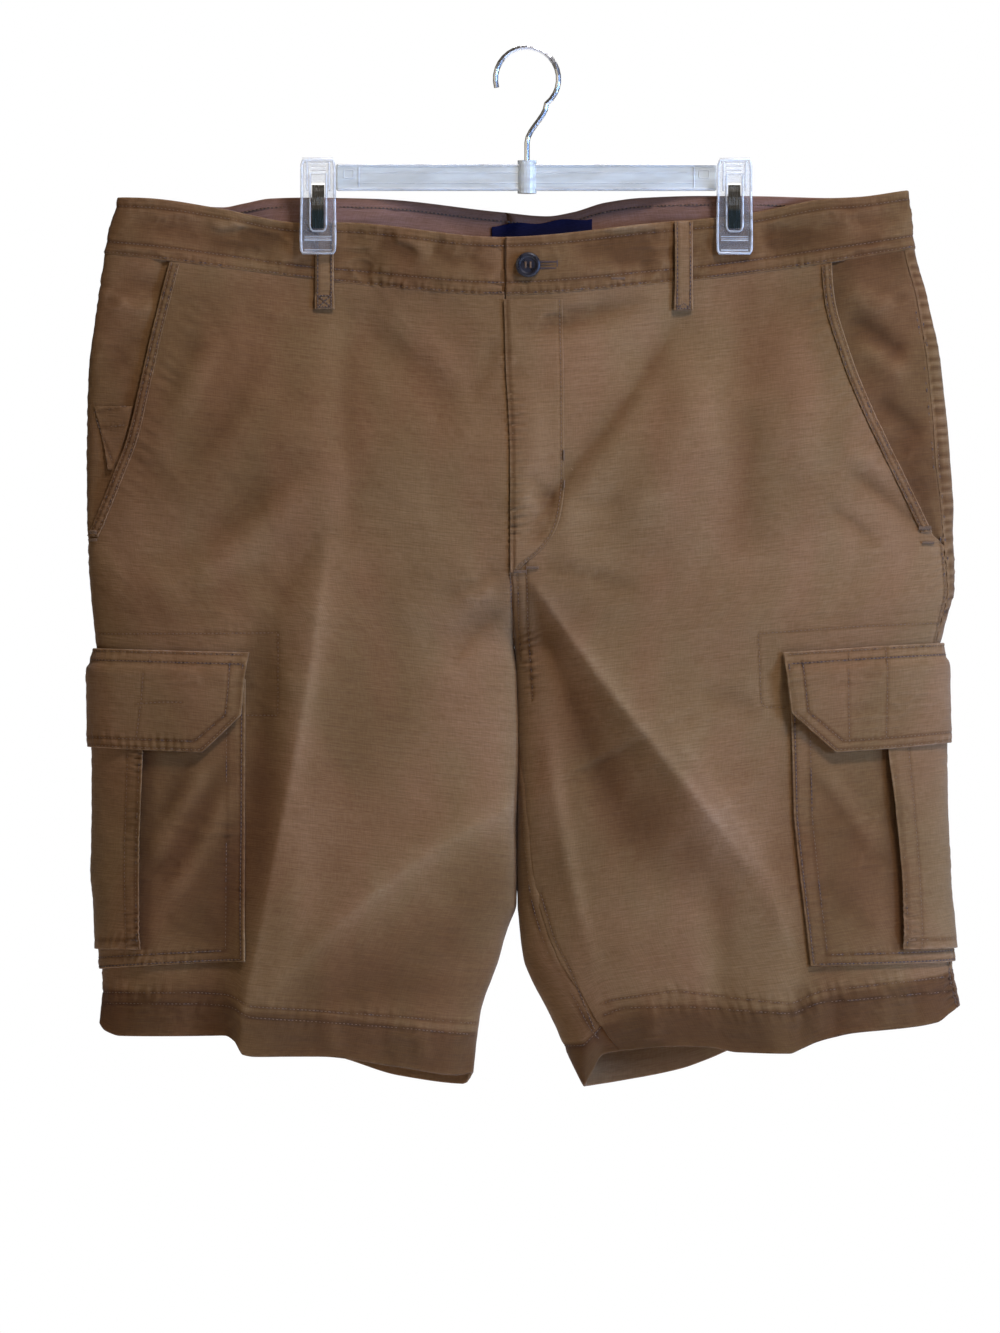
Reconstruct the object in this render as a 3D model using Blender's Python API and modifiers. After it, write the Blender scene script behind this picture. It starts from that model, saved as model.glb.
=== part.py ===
"""Men's cargo shorts on a clip hanger. Each cut piece and each moulded piece is a solid of its own.

Metres, +Z up, the front faces -Y. The origin is the inside of the hook's top, where it hangs.
"right" and "left" are the wearer's, so the right leg is at -X.

The tables are in millimetres: x is from the hanger's middle plane, drop is how far below the origin.
One leg and its half of the body are a tube. A place on it has a turn and a level. turn is 0 on the
front at the centre or inner fold, 1 at the outer fold, and 2 on the back at the centre or inner fold.
level is -1 at the waistband's top edge, 0 at the waist seam, 1 at the crotch and 2 at the hem.
"""

import math

import bmesh
import bpy
import numpy as np

MM = 0.001
COLLECTION = "cargo_shorts"
SIDES = ("right", "left")

# ---------------------------------------------------------------- cloth, in millimetres
CLOTH = 1.5
HEM_CLOTH = 2.6
HEM_DEPTH_LEVEL = 0.11
BAND_CLOTH = 2.6
BAND_PROUD = 0.6
SEAM_GAP = 0.3
LAY_GAP = 0.4

# ---------------------------------------------------------------- outline, seen from the front
# drop, x
OUTER_EDGE = {
    "right": [(96, -280), (101, -282), (135, -290), (171, -296), (201, -300), (256, -303.5),
              (315, -304), (375, -300), (414, -297), (481, -295.5), (559, -296), (593, -294),
              (639, -292.5), (671, -295), (690, -296)],
    "left": [(90, 262), (96, 263), (138, 267.5), (170, 276.5), (210, 284), (279, 292),
             (321, 294), (371, 294), (393, 289), (420, 284), (483, 285), (573, 287.5),
             (614, 291), (642, 295), (660, 299), (680, 300)],
}
# drop, x: the centre seam down to the crotch, and each leg's inner fold below it
CENTRE_SEAM = [(90, -15.2), (128, -15.2), (170, -15.2), (193, -14.5), (222, -13.8), (251, -12),
               (283, -11), (349, -11), (402, -9), (414, -8.4)]
INNER_FOLD = {
    "right": [(436, -8), (476, -7.4), (586, -7.2), (600, -11.5), (614, -15.2), (628, -19.3),
              (642, -24.8), (656, -30), (670, -33), (705, -37)],
    "left": [(436, -6.6), (476, -5.8), (586, -5.4), (614, -4.6), (628, -2.2), (642, 4.2),
             (656, 11.5), (670, 18), (683, 23.5), (697, 29.5), (716, 39)],
}
# x, drop
TOP_EDGE_FRONT = [(-282, 101.4), (-260, 102.4), (-210, 109.7), (-156, 119), (-130, 118.8),
                  (-18, 129.4), (101, 118), (133, 115.2), (157, 111.8), (208, 102.6),
                  (226, 101.8), (263, 96.6)]
TOP_EDGE_BACK = [(-282, 101.4), (-260, 102.4), (-210, 108), (-195, 105.4), (-177, 102.2),
                 (-156, 101.6), (-104, 102.4), (-18, 111), (14, 113.8), (32, 111), (54, 104.6),
                 (80, 101.4), (122, 100.4), (157, 100.6), (208, 101.6), (226, 101), (263, 96.6)]
WAIST_SEAM_FRONT = [(-290, 141.4), (-247, 146.3), (-147, 159), (-132, 160.8), (-15.2, 170.2),
                    (101, 161.2), (157, 154.6), (203, 148.3), (265, 138)]
WAIST_SEAM_BACK = [(-290, 141.4), (-247, 144.6), (-195, 146.4), (-147, 143.8), (-104, 144.4),
                   (-15.2, 153.2), (32, 153), (80, 144.4), (122, 142.6), (157, 142.4),
                   (203, 142.2), (265, 138)]
HEM_FRONT = {
    "right": [(-296, 671.4), (-291, 676.9), (-281, 680), (-230, 679.6), (-208, 679.2),
              (-201, 683), (-195, 692), (-186, 693.4), (-143, 693.6), (-88, 701), (-46, 707.2),
              (-36, 705.2)],
    "left": [(39, 716), (46, 704), (53, 692.8), (72, 689.3), (106, 686.6), (126, 687.2),
             (144, 690.6), (180, 691.4), (189, 688), (199, 683.8), (224, 677.6), (255, 674.8),
             (283, 670.7), (292, 664.5), (299, 659.6)],
}
HEM_BACK = {
    "right": [(-296, 671.4), (-226, 679), (-132, 696), (-88, 709), (-43, 714), (-36, 705.2)],
    "left": [(39, 716), (67, 712), (106, 704.5), (126, 697.6), (145, 690), (223, 676.2),
             (299, 659.6)],
}
CROTCH_DROP_INNER = 414
CROTCH_DROP_OUTER = 383
HEM_DROP = {"right": (705.2, 671.4), "left": (716, 659.6)}
HEM_DETAIL_POWER = 6

# ---------------------------------------------------------------- outline, seen from the side
# x, depth of each face from the middle plane at the waist: pressed flat in the two clips
WAIST_DEPTH = [(-290, 10), (-215, 8), (-166, 2.4), (-122, 2.4), (-70, 10), (0, 15), (70, 10),
               (120, 2.4), (166, 2.4), (215, 8), (290, 10)]
# level, depth of the front face, depth of the back face
BODY_DEPTH = [(-1, 12, 12), (0, 14, 18), (0.3, 24, 36), (0.6, 30, 44), (1, 33, 42),
              (1.3, 34, 38), (1.6, 35, 36), (2, 36, 36)]
CLIPPED_LEVELS = 0.5
FOLD_FULLNESS = 0.85
LEGS_PART_LEVEL = 0.7

# ---------------------------------------------------------------- seams
# level, turn
SIDE_SEAM = {"right": [(0, 1.03), (2, 1.03)],
             "left": [(0, 0.895), (0.6, 0.877), (1, 0.925), (2, 0.95)]}
INSEAM = {"right": [(0, 0), (1, 0), (2, -0.06)],
          "left": [(0, 0), (1, 0), (1.3, 0.08), (1.55, 0.13), (1.7, 0.175), (1.8, 0.2), (2, 0.2)]}
# drop, x of the slant pocket's open edge
SLANT_EDGE = {"right": [(130, -242), (148.3, -247), (195, -258.8), (241.5, -269), (265, -274.6),
                        (293, -285), (328, -299)],
              "left": [(130, 210.4), (148.3, 210.4), (167.7, 211.6), (211.8, 223.6),
                       (245, 236.7), (274, 250.5), (335, 280)]}
SLANT_END_DROP = {"right": 345, "left": 342}
FACING_SUNK = 2.6
FACING_UNDER_TURN = 0.02
BINDING_WIDTH = 7.5
BINDING_CLOTH = 1.0
BINDING_LIFT = 0.9

# ---------------------------------------------------------------- large folds
# kind, face, height, width, then the line as (drop, x) points; a step is high on one side of its line
FOLDS = [
    ("ridge", "front", 3.0, 17, [(211, 90), (255, 70), (300, 42), (345, 20)]),
    ("ridge", "front", -3.0, 15, [(214, 106), (264, 92), (318, 60), (352, 28)]),
    ("ridge", "front", -3.5, 18, [(240, 148), (300, 150), (362, 152)]),
    ("ridge", "front", -2.2, 16, [(190, -128), (240, -130), (292, -131)]),
    ("ridge", "front", 3.0, 18, [(205, -224), (250, -242), (292, -262)]),
    ("ridge", "front", -2.5, 16, [(290, -172), (340, -215), (372, -250)]),
    ("ridge", "front", -3.5, 16, [(368, 4), (405, 26), (450, 58), (492, 88), (525, 112)]),
    ("ridge", "front", 3.0, 18, [(360, -22), (382, -52), (400, -92)]),
    ("step", "front", 4.5, 17, [(430, -147), (492, -162), (572, -177), (622, -189), (700, -202)]),
    ("step", "front", -3.0, 16, [(560, 176), (630, 186), (700, 190)]),
    ("ridge", "back", 4.0, 20, [(215, -150), (270, -110), (330, -70), (372, -40)]),
    ("ridge", "back", 3.5, 20, [(220, 140), (275, 112), (335, 78), (375, 46)]),
    ("ridge", "back", -3.5, 18, [(380, -60), (410, -120), (430, -180)]),
    ("ridge", "back", -3.5, 18, [(384, 52), (412, 108), (430, 168)]),
    ("ridge", "back", 3.5, 22, [(470, -110), (560, -125), (690, -130)]),
    ("ridge", "back", 3.5, 22, [(470, 130), (560, 150), (690, 165)]),
]
FOLD_END_FADE = 0.22
FOLD_SIDE_FADE = 0.35

# ---------------------------------------------------------------- pieces laid on the panels
POCKET_CLOTH = 1.4
POCKET_LIFT = 1.2
# front edge as (drop, x), back edge as (drop, x), bottom as (share of the way round, drop)
POCKET = {
    "right": {"front": [(420, -193), (640, -193)], "back": [(420, -204), (640, -208)],
              "top": 434, "bottom": [(0, 627.9), (0.5, 634), (1, 636)]},
    "left": {"front": [(420, 180), (464, 180.8), (527, 182.2), (573, 187), (631, 193.9)],
             "back": [(420, 198), (640, 204)],
             "top": 434, "bottom": [(0, 631.3), (0.5, 629), (1, 632)]},
}
PLEAT_CLOTH = 1.2
PLEAT_LIFT = 1.4
# front edge as (drop, x), then the turn of the back edge
PLEAT = {"right": ([(440, -262), (485, -262.2), (517, -262.9), (553, -264.3), (630, -264)], 1.06),
         "left": ([(440, 244), (483, 246.3), (515, 249.8), (573, 255.3), (630, 257)], 1.12)}
PLEAT_TOP_DROP = 470
PLEAT_BOTTOM_DROP = {"right": 620, "left": 620}
FLAP_CLOTH = 2.0
# front edge, back edge, then bottom: the lower corners are cut off at a slant
FLAP = {
    "right": {"front": [(413, -190), (424, -192), (459, -195), (484, -222)],
              "back": [(413, -196), (459, -198), (484, -226)],
              "top": [(0, 415.4), (0.5, 412.5), (1, 414)], "bottom": [(0, 484.4), (0.5, 481), (1, 484)]},
    "left": {"front": [(413, 174.5), (424, 176.4), (457, 180.1), (484, 210)],
             "back": [(413, 190), (457, 192), (484, 216)],
             "top": [(0, 415.4), (0.25, 410.5), (0.5, 408.5), (1, 412)],
             "bottom": [(0, 484.4), (0.5, 478.2), (1, 482)]},
}
FLAP_LIFT_TOP = 0.9
FLAP_LIFT_LOW = 6.4
FLAP_RISE = 0.26
COIN_CLOTH = 1.0
# drop, then x of its outer edge and of its edge at the slant
COIN_POCKET = [(246, -298.5, -271.5), (262, -294.5, -275.5), (276, -291.2, -280), (290, -288.8, -285.2)]
# how far its face is from the front panel's at its outer edge, its middle and its edge at the slant
COIN_LIFT = (-0.4, -0.55, -0.8)

# drop, x of the fly overlap's outer stitched edge; its inner edge is the centre seam
FLY_EDGE = [(172.5, 24.4), (241.5, 25.5), (300, 25.5), (320, 23.4), (334, 18.6), (346, 9), (355, -2),
            (361, -7.5)]
FLY_CLOTH = 1.0
FLY_LIFT = 0.8

LOOP_WIDTH = 13.0
LOOP_CLOTH = 1.6
LOOP_BOW = 1.2
LOOP_LIFT = 0.6
LOOP_BELOW_SEAM = 19.5
# x, whether it is on the back
BELT_LOOPS = {
    "belt_loop_front_right": (-139.7, False),
    "belt_loop_front_left": (107.6, False),
    "belt_loop_side_right": (-236, True),
    "belt_loop_side_left": (222, True),
    "belt_loop_back": (-15.2, True),
}
CLIPPED_LOOP = "belt_loop_front_right"

LABEL_X = (-24.8, 45.5)
LABEL_DROP = (119, 146)
LABEL_CLOTH = 0.8

UNDERLAP = 38.0
UNDERLAP_SUNK = 3.1
UNDERLAP_RAMP = 16.0

BUTTON_X = 0.7
BUTTON_DROP = 149.0
BUTTON_RADIUS = 8.65
BUTTON_THICK = 3.0
BUTTON_HOLE_RADIUS = 0.9
BUTTON_HOLE_OFFSET = 2.4
# radius and height of its turned profile, as shares of the button's radius and thickness
BUTTON_PROFILE = [(0, 0.62), (0.60, 0.62), (0.72, 0.95), (0.84, 1), (0.95, 0.88), (1, 0.6), (0.96, 0.2),
                  (0.80, 0), (0, 0)]

# ---------------------------------------------------------------- hanger
BAR_X = (-131.6, 130.6)
BAR_DROP = (78.7, 97.2)
BAR_THICK = 5.0
BAR_DEPTH = 0.0
JAW_X = {"right": (-156.2, -131.9), "left": (130.9, 155.2)}
JAW_WALL = 2.2
# drop, depth of the jaw's inner face from the cloth's middle plane
JAW_FACE = [(75.2, 12.5), (84, 9.6), (92, 6.4), (99, 4.5), (106, 3.6), (141.6, 3.6)]
# drop, how far in each side edge is from its place at the top
JAW_SIDES = [(75.2, 1.6), (80, 0.2), (85, 0), (91, 0), (96, 0), (101, 0), (106, -0.2), (118, -0.4),
             (130, -0.6), (138.5, -0.3), (141.6, 1.2)]
JAW_CLEAR = {("front", "right"): 2.8, ("front", "left"): 0.0, ("back", "right"): 0.0,
             ("back", "left"): 0.0}
JAW_WINDOW_DROP = (91.6, 99.6)
JAW_WINDOW_WIDTH = 9.8
SPRING_WIDTH = 8.2
SPRING_STEEL = 0.9
# drop, how far the arm is off the jaw
SPRING_ARM = [(123.5, 0), (115, 0), (107.5, 0), (102, 1.2)]
SPRING_ARCH_DROP = (98.2, 93.4)
SPRING_ARCH_CLEAR = 0.9
HOOK_WIRE = 3.6
HOOK_RADIUS = 20.0
HOOK_TIP_ANGLE = 196.0
HOOK_LAST_ANGLE = -52.0
HOOK_STEM_DROP = 64.0
HOOK_FOOT_DROP = 76.0
BOSS_RADIUS = 6.5
BOSS_DROP = (76.3, 99.0)

# ---------------------------------------------------------------- how finely the cloth is divided
BODY_ROWS = 11
LEG_ROWS = 13
PANEL_COLUMNS = 16
BAND_COLUMNS = 26
PATCH_COLUMNS = 16
POCKET_ROWS = 9
FLAP_ROWS = 5
CLOSING = 0.36
FIRST_LEVEL = 0.0025
STEP_TURN = 0.004
STEP_LEVEL = 0.004

# ---------------------------------------------------------------- finishes: colour, roughness, metallic
FINISHES = {
    "twill": ((0.165, 0.110, 0.070), 0.9, 0.0),
    "label": ((0.018, 0.020, 0.050), 0.8, 0.0),
    "button": ((0.030, 0.032, 0.040), 0.35, 0.0),
    "clear_plastic": ((0.78, 0.80, 0.77), 0.15, 0.0),
    "spring_steel": ((0.42, 0.42, 0.44), 0.3, 1.0),
}


# ================================================================ curves through tables
def slopes_through(places, values):
    """The slope at each row that keeps the curve smooth and lets it overshoot no row."""
    rise = np.diff(values) / np.diff(places)
    before, after = rise[:-1], rise[1:]
    same_way = before * after > 0
    both = np.where(same_way, before + after, 1)
    inside = np.where(same_way, 2 * before * after / both, 0)
    return np.concatenate([rise[:1], inside, rise[-1:]])


def smooth(table, at):
    """Reads a table of (place, value) rows at any places, on one smooth curve through the rows."""
    places, values = np.array(table, float).T
    slopes = slopes_through(places, values)
    at = np.clip(np.asarray(at, float), places[0], places[-1])
    row = np.clip(np.searchsorted(places, at, side="right") - 1, 0, len(places) - 2)
    span = places[row + 1] - places[row]
    f = (at - places[row]) / span
    rise = values[row + 1] - values[row]
    start = slopes[row] * span
    end = slopes[row + 1] * span
    return values[row] + f * (start + f * (3 * rise - 2 * start - end + f * (start + end - 2 * rise)))


def straight(table, at):
    places, values = np.array(table, float).T
    return np.interp(at, places, values)


def ease(f):
    f = np.clip(f, 0, 1)
    return f * f * (3 - 2 * f)


def blend(a, b, f):
    return a + (b - a) * f


# ================================================================ the shape of one half
def inner_edge(side, drop):
    apart = SEAM_GAP / 2 if side == "left" else -SEAM_GAP / 2
    return smooth(CENTRE_SEAM + INNER_FOLD[side], drop) + apart


def share_out(turn):
    """How far a turn is from the inner edge (0) to the outer edge (1), seen from the front."""
    return np.sin(np.pi * turn / 2) ** 2


def is_leg(level):
    """0 where the halves are open to each other, 1 where each is a closed tube."""
    return ease((level - LEGS_PART_LEVEL) / (1 - LEGS_PART_LEVEL))


def is_front(turn, level):
    """1 on the front face, 0 on the back, with a quick change at the folds."""
    body = ease(0.5 + 3 * np.cos(np.pi * turn / 2))
    leg = ease(0.5 + 3 * np.sin(np.pi * turn))
    return blend(body, leg, is_leg(level))


def edge_drop(side, turn, level, edge_share):
    """The drop of a level at the inner (0) or outer (1) edge of the half."""
    x = (smooth(CENTRE_SEAM, 160), OUTER_EDGE[side][2][1])[edge_share]
    front = is_front(turn, level)
    top = blend(smooth(TOP_EDGE_BACK, x), smooth(TOP_EDGE_FRONT, x), front)
    seam = blend(smooth(WAIST_SEAM_BACK, x), smooth(WAIST_SEAM_FRONT, x), front)
    crotch = (CROTCH_DROP_INNER, CROTCH_DROP_OUTER)[edge_share]
    hem = HEM_DROP[side][edge_share]
    return by_level(level, top, seam, crotch, hem)


def by_level(level, top, seam, crotch, hem):
    body = np.where(level < 0, seam + level * (seam - top), blend(seam, crotch, level))
    return np.where(level <= 1, body, blend(crotch, hem, level - 1))


def seen_at(side, turn, level):
    """x and drop, before the folds."""
    share = share_out(turn)
    x_in = inner_edge(side, edge_drop(side, turn, level, 0))
    x_out = smooth(OUTER_EDGE[side], edge_drop(side, turn, level, 1))
    x = blend(x_in, x_out, share)
    front = is_front(turn, level)
    # the tables of the top edge and the waist seam are read at the x that each has there
    top = blend(smooth(TOP_EDGE_BACK, x), smooth(TOP_EDGE_FRONT, x), front)
    seam = blend(smooth(WAIST_SEAM_BACK, x), smooth(WAIST_SEAM_FRONT, x), front)
    crotch = blend(CROTCH_DROP_INNER, CROTCH_DROP_OUTER, share)
    hem_in, hem_out = HEM_DROP[side]
    hem = blend(hem_in, hem_out, share)
    drop = by_level(level, top, seam, crotch, hem)
    cut = blend(smooth(HEM_BACK[side], x), smooth(HEM_FRONT[side], x), front) - hem
    return x, drop + cut * np.clip(level - 1, 0, 1.2) ** HEM_DETAIL_POWER


def depth_at(x, turn, level):
    """Signed depth before the folds: the front is negative."""
    round_in = np.cos(np.pi * turn / 2)
    open_centre = np.sqrt(2 - round_in ** 2)
    closed_fold = 2 * np.sin(np.pi * turn / 2)
    full = round_in * blend(open_centre, closed_fold, is_leg(level))
    body_table = np.array(BODY_DEPTH, float)
    front = smooth(body_table[:, :2], level)
    back = smooth(body_table[:, [0, 2]], level)
    body = np.sign(full) * np.abs(full) ** FOLD_FULLNESS * blend(back, front, ease(0.5 + 1.5 * full))
    waist = smooth(WAIST_DEPTH, x) * np.tanh(3.5 * round_in) / math.tanh(3.5)
    return -blend(waist, body, ease(level / CLIPPED_LEVELS))


def fold_height(kind, width, line, x, drop):
    """The height from 0 to 1 (or -1 to 1 for a step) of one fold at a place."""
    line = np.array(line, float)
    reach = np.append(0, np.cumsum(np.hypot(*np.diff(line, axis=0).T)))
    best = np.full(np.shape(x), np.inf)
    along = np.zeros(np.shape(x))
    for i in range(len(line) - 1):
        step = line[i + 1] - line[i]
        length = np.hypot(*step)
        f = np.clip(((drop - line[i, 0]) * step[0] + (x - line[i, 1]) * step[1]) / length ** 2, 0, 1)
        away_drop = drop - line[i, 0] - f * step[0]
        away_x = x - line[i, 1] - f * step[1]
        away = np.hypot(away_drop, away_x)
        nearer = away < np.abs(best)
        best = np.where(nearer, away * np.sign(away_x + 1e-9), best)
        along = np.where(nearer, (reach[i] + f * length) / reach[-1], along)
    ends = ease(along / FOLD_END_FADE) * ease((1 - along) / FOLD_END_FADE)
    if kind == "step":
        ends = ease(along / 0.5)
        return ends * (best / width) * np.exp(0.5 - 0.5 * (best / width) ** 2)
    return ends * np.exp(-((best / width) ** 2))


def folds(x, drop, turn, level):
    """How far the folds move the face outwards."""
    sideways = np.abs(np.sin(np.pi * turn))
    total = np.zeros(np.shape(x))
    for kind, face, height, width, line in FOLDS:
        front = is_front(turn, level)
        on_face = front if face == "front" else 1 - front
        total = total + height * on_face * fold_height(kind, width, line, x, drop)
    return total * ease(sideways / FOLD_SIDE_FADE)


def face(side, turn, level):
    """Points of the cloth's outer face, in metres."""
    turn, level = np.broadcast_arrays(np.asarray(turn, float), np.asarray(level, float))
    x, drop = seen_at(side, turn, level)
    depth = depth_at(x, turn, level)
    outwards = blend(1, -1, is_front(turn, level))
    depth = depth + outwards * folds(x, drop, turn, level)
    return np.stack([x, depth, -drop], axis=-1) * MM


def outward(side, turn, level):
    """Unit vectors that point out of the cloth."""
    turn, level = np.broadcast_arrays(np.asarray(turn, float), np.asarray(level, float))
    whole = level > LEGS_PART_LEVEL
    before = np.where(whole, turn - STEP_TURN, np.maximum(turn - STEP_TURN, 0))
    after = np.where(whole, turn + STEP_TURN, np.minimum(turn + STEP_TURN, 2))
    around = face(side, after, level) - face(side, before, level)
    down = face(side, turn, level + STEP_LEVEL) - face(side, turn, level - STEP_LEVEL)
    out = np.cross(down, around) if side == "left" else np.cross(around, down)
    return out / np.linalg.norm(out, axis=-1, keepdims=True)


def lifted(side, turn, level, lift):
    """Points off the face by lift millimetres, which may be one number for each point."""
    lift = np.asarray(lift, float)[..., None] if np.ndim(lift) else lift
    return face(side, turn, level) + outward(side, turn, level) * lift * MM


def turn_and_level(side, x, drop, back=False):
    """The place on the tube that is seen at x and drop."""
    x, drop = np.broadcast_arrays(np.asarray(x, float), np.asarray(drop, float))
    turn = np.full(x.shape, 1.5 if back else 0.5)
    level = np.full(x.shape, 1.0)
    for _ in range(14):
        x_in = inner_edge(side, edge_drop(side, turn, level, 0))
        x_out = smooth(OUTER_EDGE[side], edge_drop(side, turn, level, 1))
        share = np.clip((x - x_in) / (x_out - x_in), 0, 1)
        turn = 2 / np.pi * np.arcsin(np.sqrt(share))
        turn = 2 - turn if back else turn
        slope = (seen_at(side, turn, level + 0.01)[1] - seen_at(side, turn, level - 0.01)[1]) / 0.02
        level = level + (drop - seen_at(side, turn, level)[1]) / slope
        level = np.clip(level, -1.2, 2.1)
    return turn, level


def level_of(side, turn, drop):
    level = np.full(np.broadcast(turn, drop).shape, 1.0)
    for _ in range(10):
        slope = (seen_at(side, turn, level + 0.01)[1] - seen_at(side, turn, level - 0.01)[1]) / 0.02
        level = np.clip(level + (drop - seen_at(side, turn, level)[1]) / slope, -1.2, 2.1)
    return level


def placed(x, drop, back, lift):
    """Points at x and drop on either half, for what lies across the centre seam."""
    x, drop = np.broadcast_arrays(np.asarray(x, float), np.asarray(drop, float))
    centre = smooth(CENTRE_SEAM, drop)
    halves = {}
    for side in SIDES:
        near = np.minimum(x, centre) if side == "right" else np.maximum(x, centre)
        halves[side] = lifted(side, *turn_and_level(side, near, drop, back), lift)
    return np.where((x < centre)[..., None], halves["right"], halves["left"])


# ================================================================ solids
def finish(obj, name):
    material = bpy.data.materials.get(name) or bpy.data.materials.new(name)
    material.use_nodes = True
    colour, roughness, metallic = FINISHES[name]
    shader = material.node_tree.nodes["Principled BSDF"]
    shader.inputs["Base Color"].default_value = (*colour, 1)
    shader.inputs["Roughness"].default_value = roughness
    shader.inputs["Metallic"].default_value = metallic
    obj.data.materials.clear()
    obj.data.materials.append(material)


def collect(obj, finish_name):
    collection = bpy.data.collections[COLLECTION]
    for other in list(obj.users_collection):
        other.objects.unlink(obj)
    collection.objects.link(obj)
    finish(obj, finish_name)
    return obj


def pulled_in(points, edges):
    """Moves the named edges of a grid of points inwards by half of a seam gap."""
    points = points.copy()
    half = SEAM_GAP / 2 * MM
    rows = {"top": (0, 1), "bottom": (-1, -2)}
    columns = {"start": (0, 1), "end": (-1, -2)}
    for edge in edges:
        if edge in rows:
            at, inside = rows[edge]
            step = points[inside] - points[at]
            points[at] += half * step / np.linalg.norm(step, axis=-1, keepdims=True)
        else:
            at, inside = columns[edge]
            step = points[:, inside] - points[:, at]
            points[:, at] += half * step / np.linalg.norm(step, axis=-1, keepdims=True)
    return points


def wall(name, outer, inner, finish_name, smooth_angle=50):
    """A cloth wall between two grids of points, closed round its rim."""
    rows, columns = outer.shape[:2]
    mesh = bmesh.new()
    front = [[mesh.verts.new(outer[i, j]) for j in range(columns)] for i in range(rows)]
    back = [[mesh.verts.new(inner[i, j]) for j in range(columns)] for i in range(rows)]
    for i in range(rows - 1):
        for j in range(columns - 1):
            mesh.faces.new((front[i][j], front[i][j + 1], front[i + 1][j + 1], front[i + 1][j]))
            mesh.faces.new((back[i][j], back[i + 1][j], back[i + 1][j + 1], back[i][j + 1]))
    rim = [(0, j) for j in range(columns - 1)]
    rim += [(i, columns - 1) for i in range(rows - 1)]
    rim += [(rows - 1, j) for j in range(columns - 1, 0, -1)]
    rim += [(i, 0) for i in range(rows - 1, 0, -1)]
    for (i, j), (k, m) in zip(rim, rim[1:] + rim[:1]):
        mesh.faces.new((front[k][m], front[i][j], back[i][j], back[k][m]))
    if mesh.calc_volume(signed=True) < 0:
        bmesh.ops.reverse_faces(mesh, faces=mesh.faces)
    data = bpy.data.meshes.new(name)
    mesh.to_mesh(data)
    mesh.free()
    data.shade_smooth()
    data.set_sharp_from_angle(angle=math.radians(smooth_angle))
    return collect(bpy.data.objects.new(name, data), finish_name)


def cloth_piece(name, side, turn, level, low, high, finish_name="twill", edges=()):
    """A wall from lift low to lift high over a grid of turns and levels."""
    outer = pulled_in(lifted(side, turn, level, high), edges)
    inner = pulled_in(lifted(side, turn, level, low), edges)
    return wall(name, outer, inner, finish_name)


# ================================================================ panels
def slant_turn(side, level):
    """The turn of the slant pocket's open edge at each level, which meets the side seam at its end."""
    drops = np.linspace(SLANT_EDGE[side][0][0], SLANT_EDGE[side][-1][0], 24)
    turns, levels = turn_and_level(side, smooth(SLANT_EDGE[side], drops), drops)
    end = slant_end(side)
    order = levels < end - 0.02
    levels = np.append(levels[order], end)
    turns = np.append(turns[order], side_turn(side, end))
    return np.interp(level, levels, turns)


def side_turn(side, level):
    return straight(SIDE_SEAM[side], level)


def slant_end(side):
    turn = straight(SIDE_SEAM[side], 0.7)
    return float(level_of(side, turn, SLANT_END_DROP[side]))


def panel_levels():
    """The levels of the panels' rows, with one at the end of each slant pocket."""
    levels = list(np.linspace(FIRST_LEVEL, 1, BODY_ROWS + 1)) + list(np.linspace(1, 2, LEG_ROWS + 1))[1:]
    for side in SIDES:
        end = slant_end(side)
        nearest = min(range(1, BODY_ROWS), key=lambda i: abs(levels[i] - end))
        levels[nearest] = end
    return np.array(levels)


def closing_shares(count):
    """Shares from 0 to 1 that come closer together towards 1, where the cloth bends most."""
    f = np.linspace(0, 1, count + 1)
    return f * (1 + CLOSING) - CLOSING * f * f


def cloth_depth(level):
    """The wall's thickness: the turned-up hem is thicker."""
    return blend(CLOTH, HEM_CLOTH, ease((level - (2 - HEM_DEPTH_LEVEL)) / 0.02))


def panel_grid(shares, starts, ends, levels):
    turn = blend(starts[:, None], ends[:, None], shares[None, :])
    return turn, np.broadcast_to(levels[:, None], turn.shape)


def make_front(side):
    levels = panel_levels()
    starts = straight(INSEAM[side], levels)
    opening = levels < slant_end(side) - 0.001
    ends = np.where(opening, slant_turn(side, levels), side_turn(side, levels))
    turn, level = panel_grid(closing_shares(PANEL_COLUMNS), starts, ends, levels)
    cloth_piece(f"front_{side}", side, turn, level, -cloth_depth(level), 0,
                edges=("top", "start", "end"))


def make_back(side):
    levels = panel_levels()
    starts = side_turn(side, levels)
    ends = 2 + straight(INSEAM[side], levels)
    shares = 1 - closing_shares(PANEL_COLUMNS)[::-1]
    turn, level = panel_grid(shares, starts, ends, levels)
    cloth_piece(f"back_{side}", side, turn, level, -cloth_depth(level), 0,
                edges=("top", "start", "end"))


def make_facing(side):
    """The cloth inside the slant pocket: sunk at the open edge, level with the back at the side seam."""
    levels = panel_levels()
    levels = levels[levels < slant_end(side) - 0.001]
    levels = np.append(levels, slant_end(side) - 0.03)
    opening = slant_turn(side, levels)
    seam = side_turn(side, levels)
    shares = np.array([-1, 0, 0.3, 0.65, 1])
    turn = opening[:, None] + (seam - opening)[:, None] * np.clip(shares, 0, 1)
    turn[:, 0] -= FACING_UNDER_TURN
    level = np.broadcast_to(levels[:, None], turn.shape)
    sunk = -FACING_SUNK * (1 - ease(np.clip(shares, 0, 1)))
    sunk = np.broadcast_to(sunk, turn.shape)
    cloth_piece(f"pocket_facing_{side}", side, turn, level, sunk - CLOTH, sunk,
                edges=("top", "end"))


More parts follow.
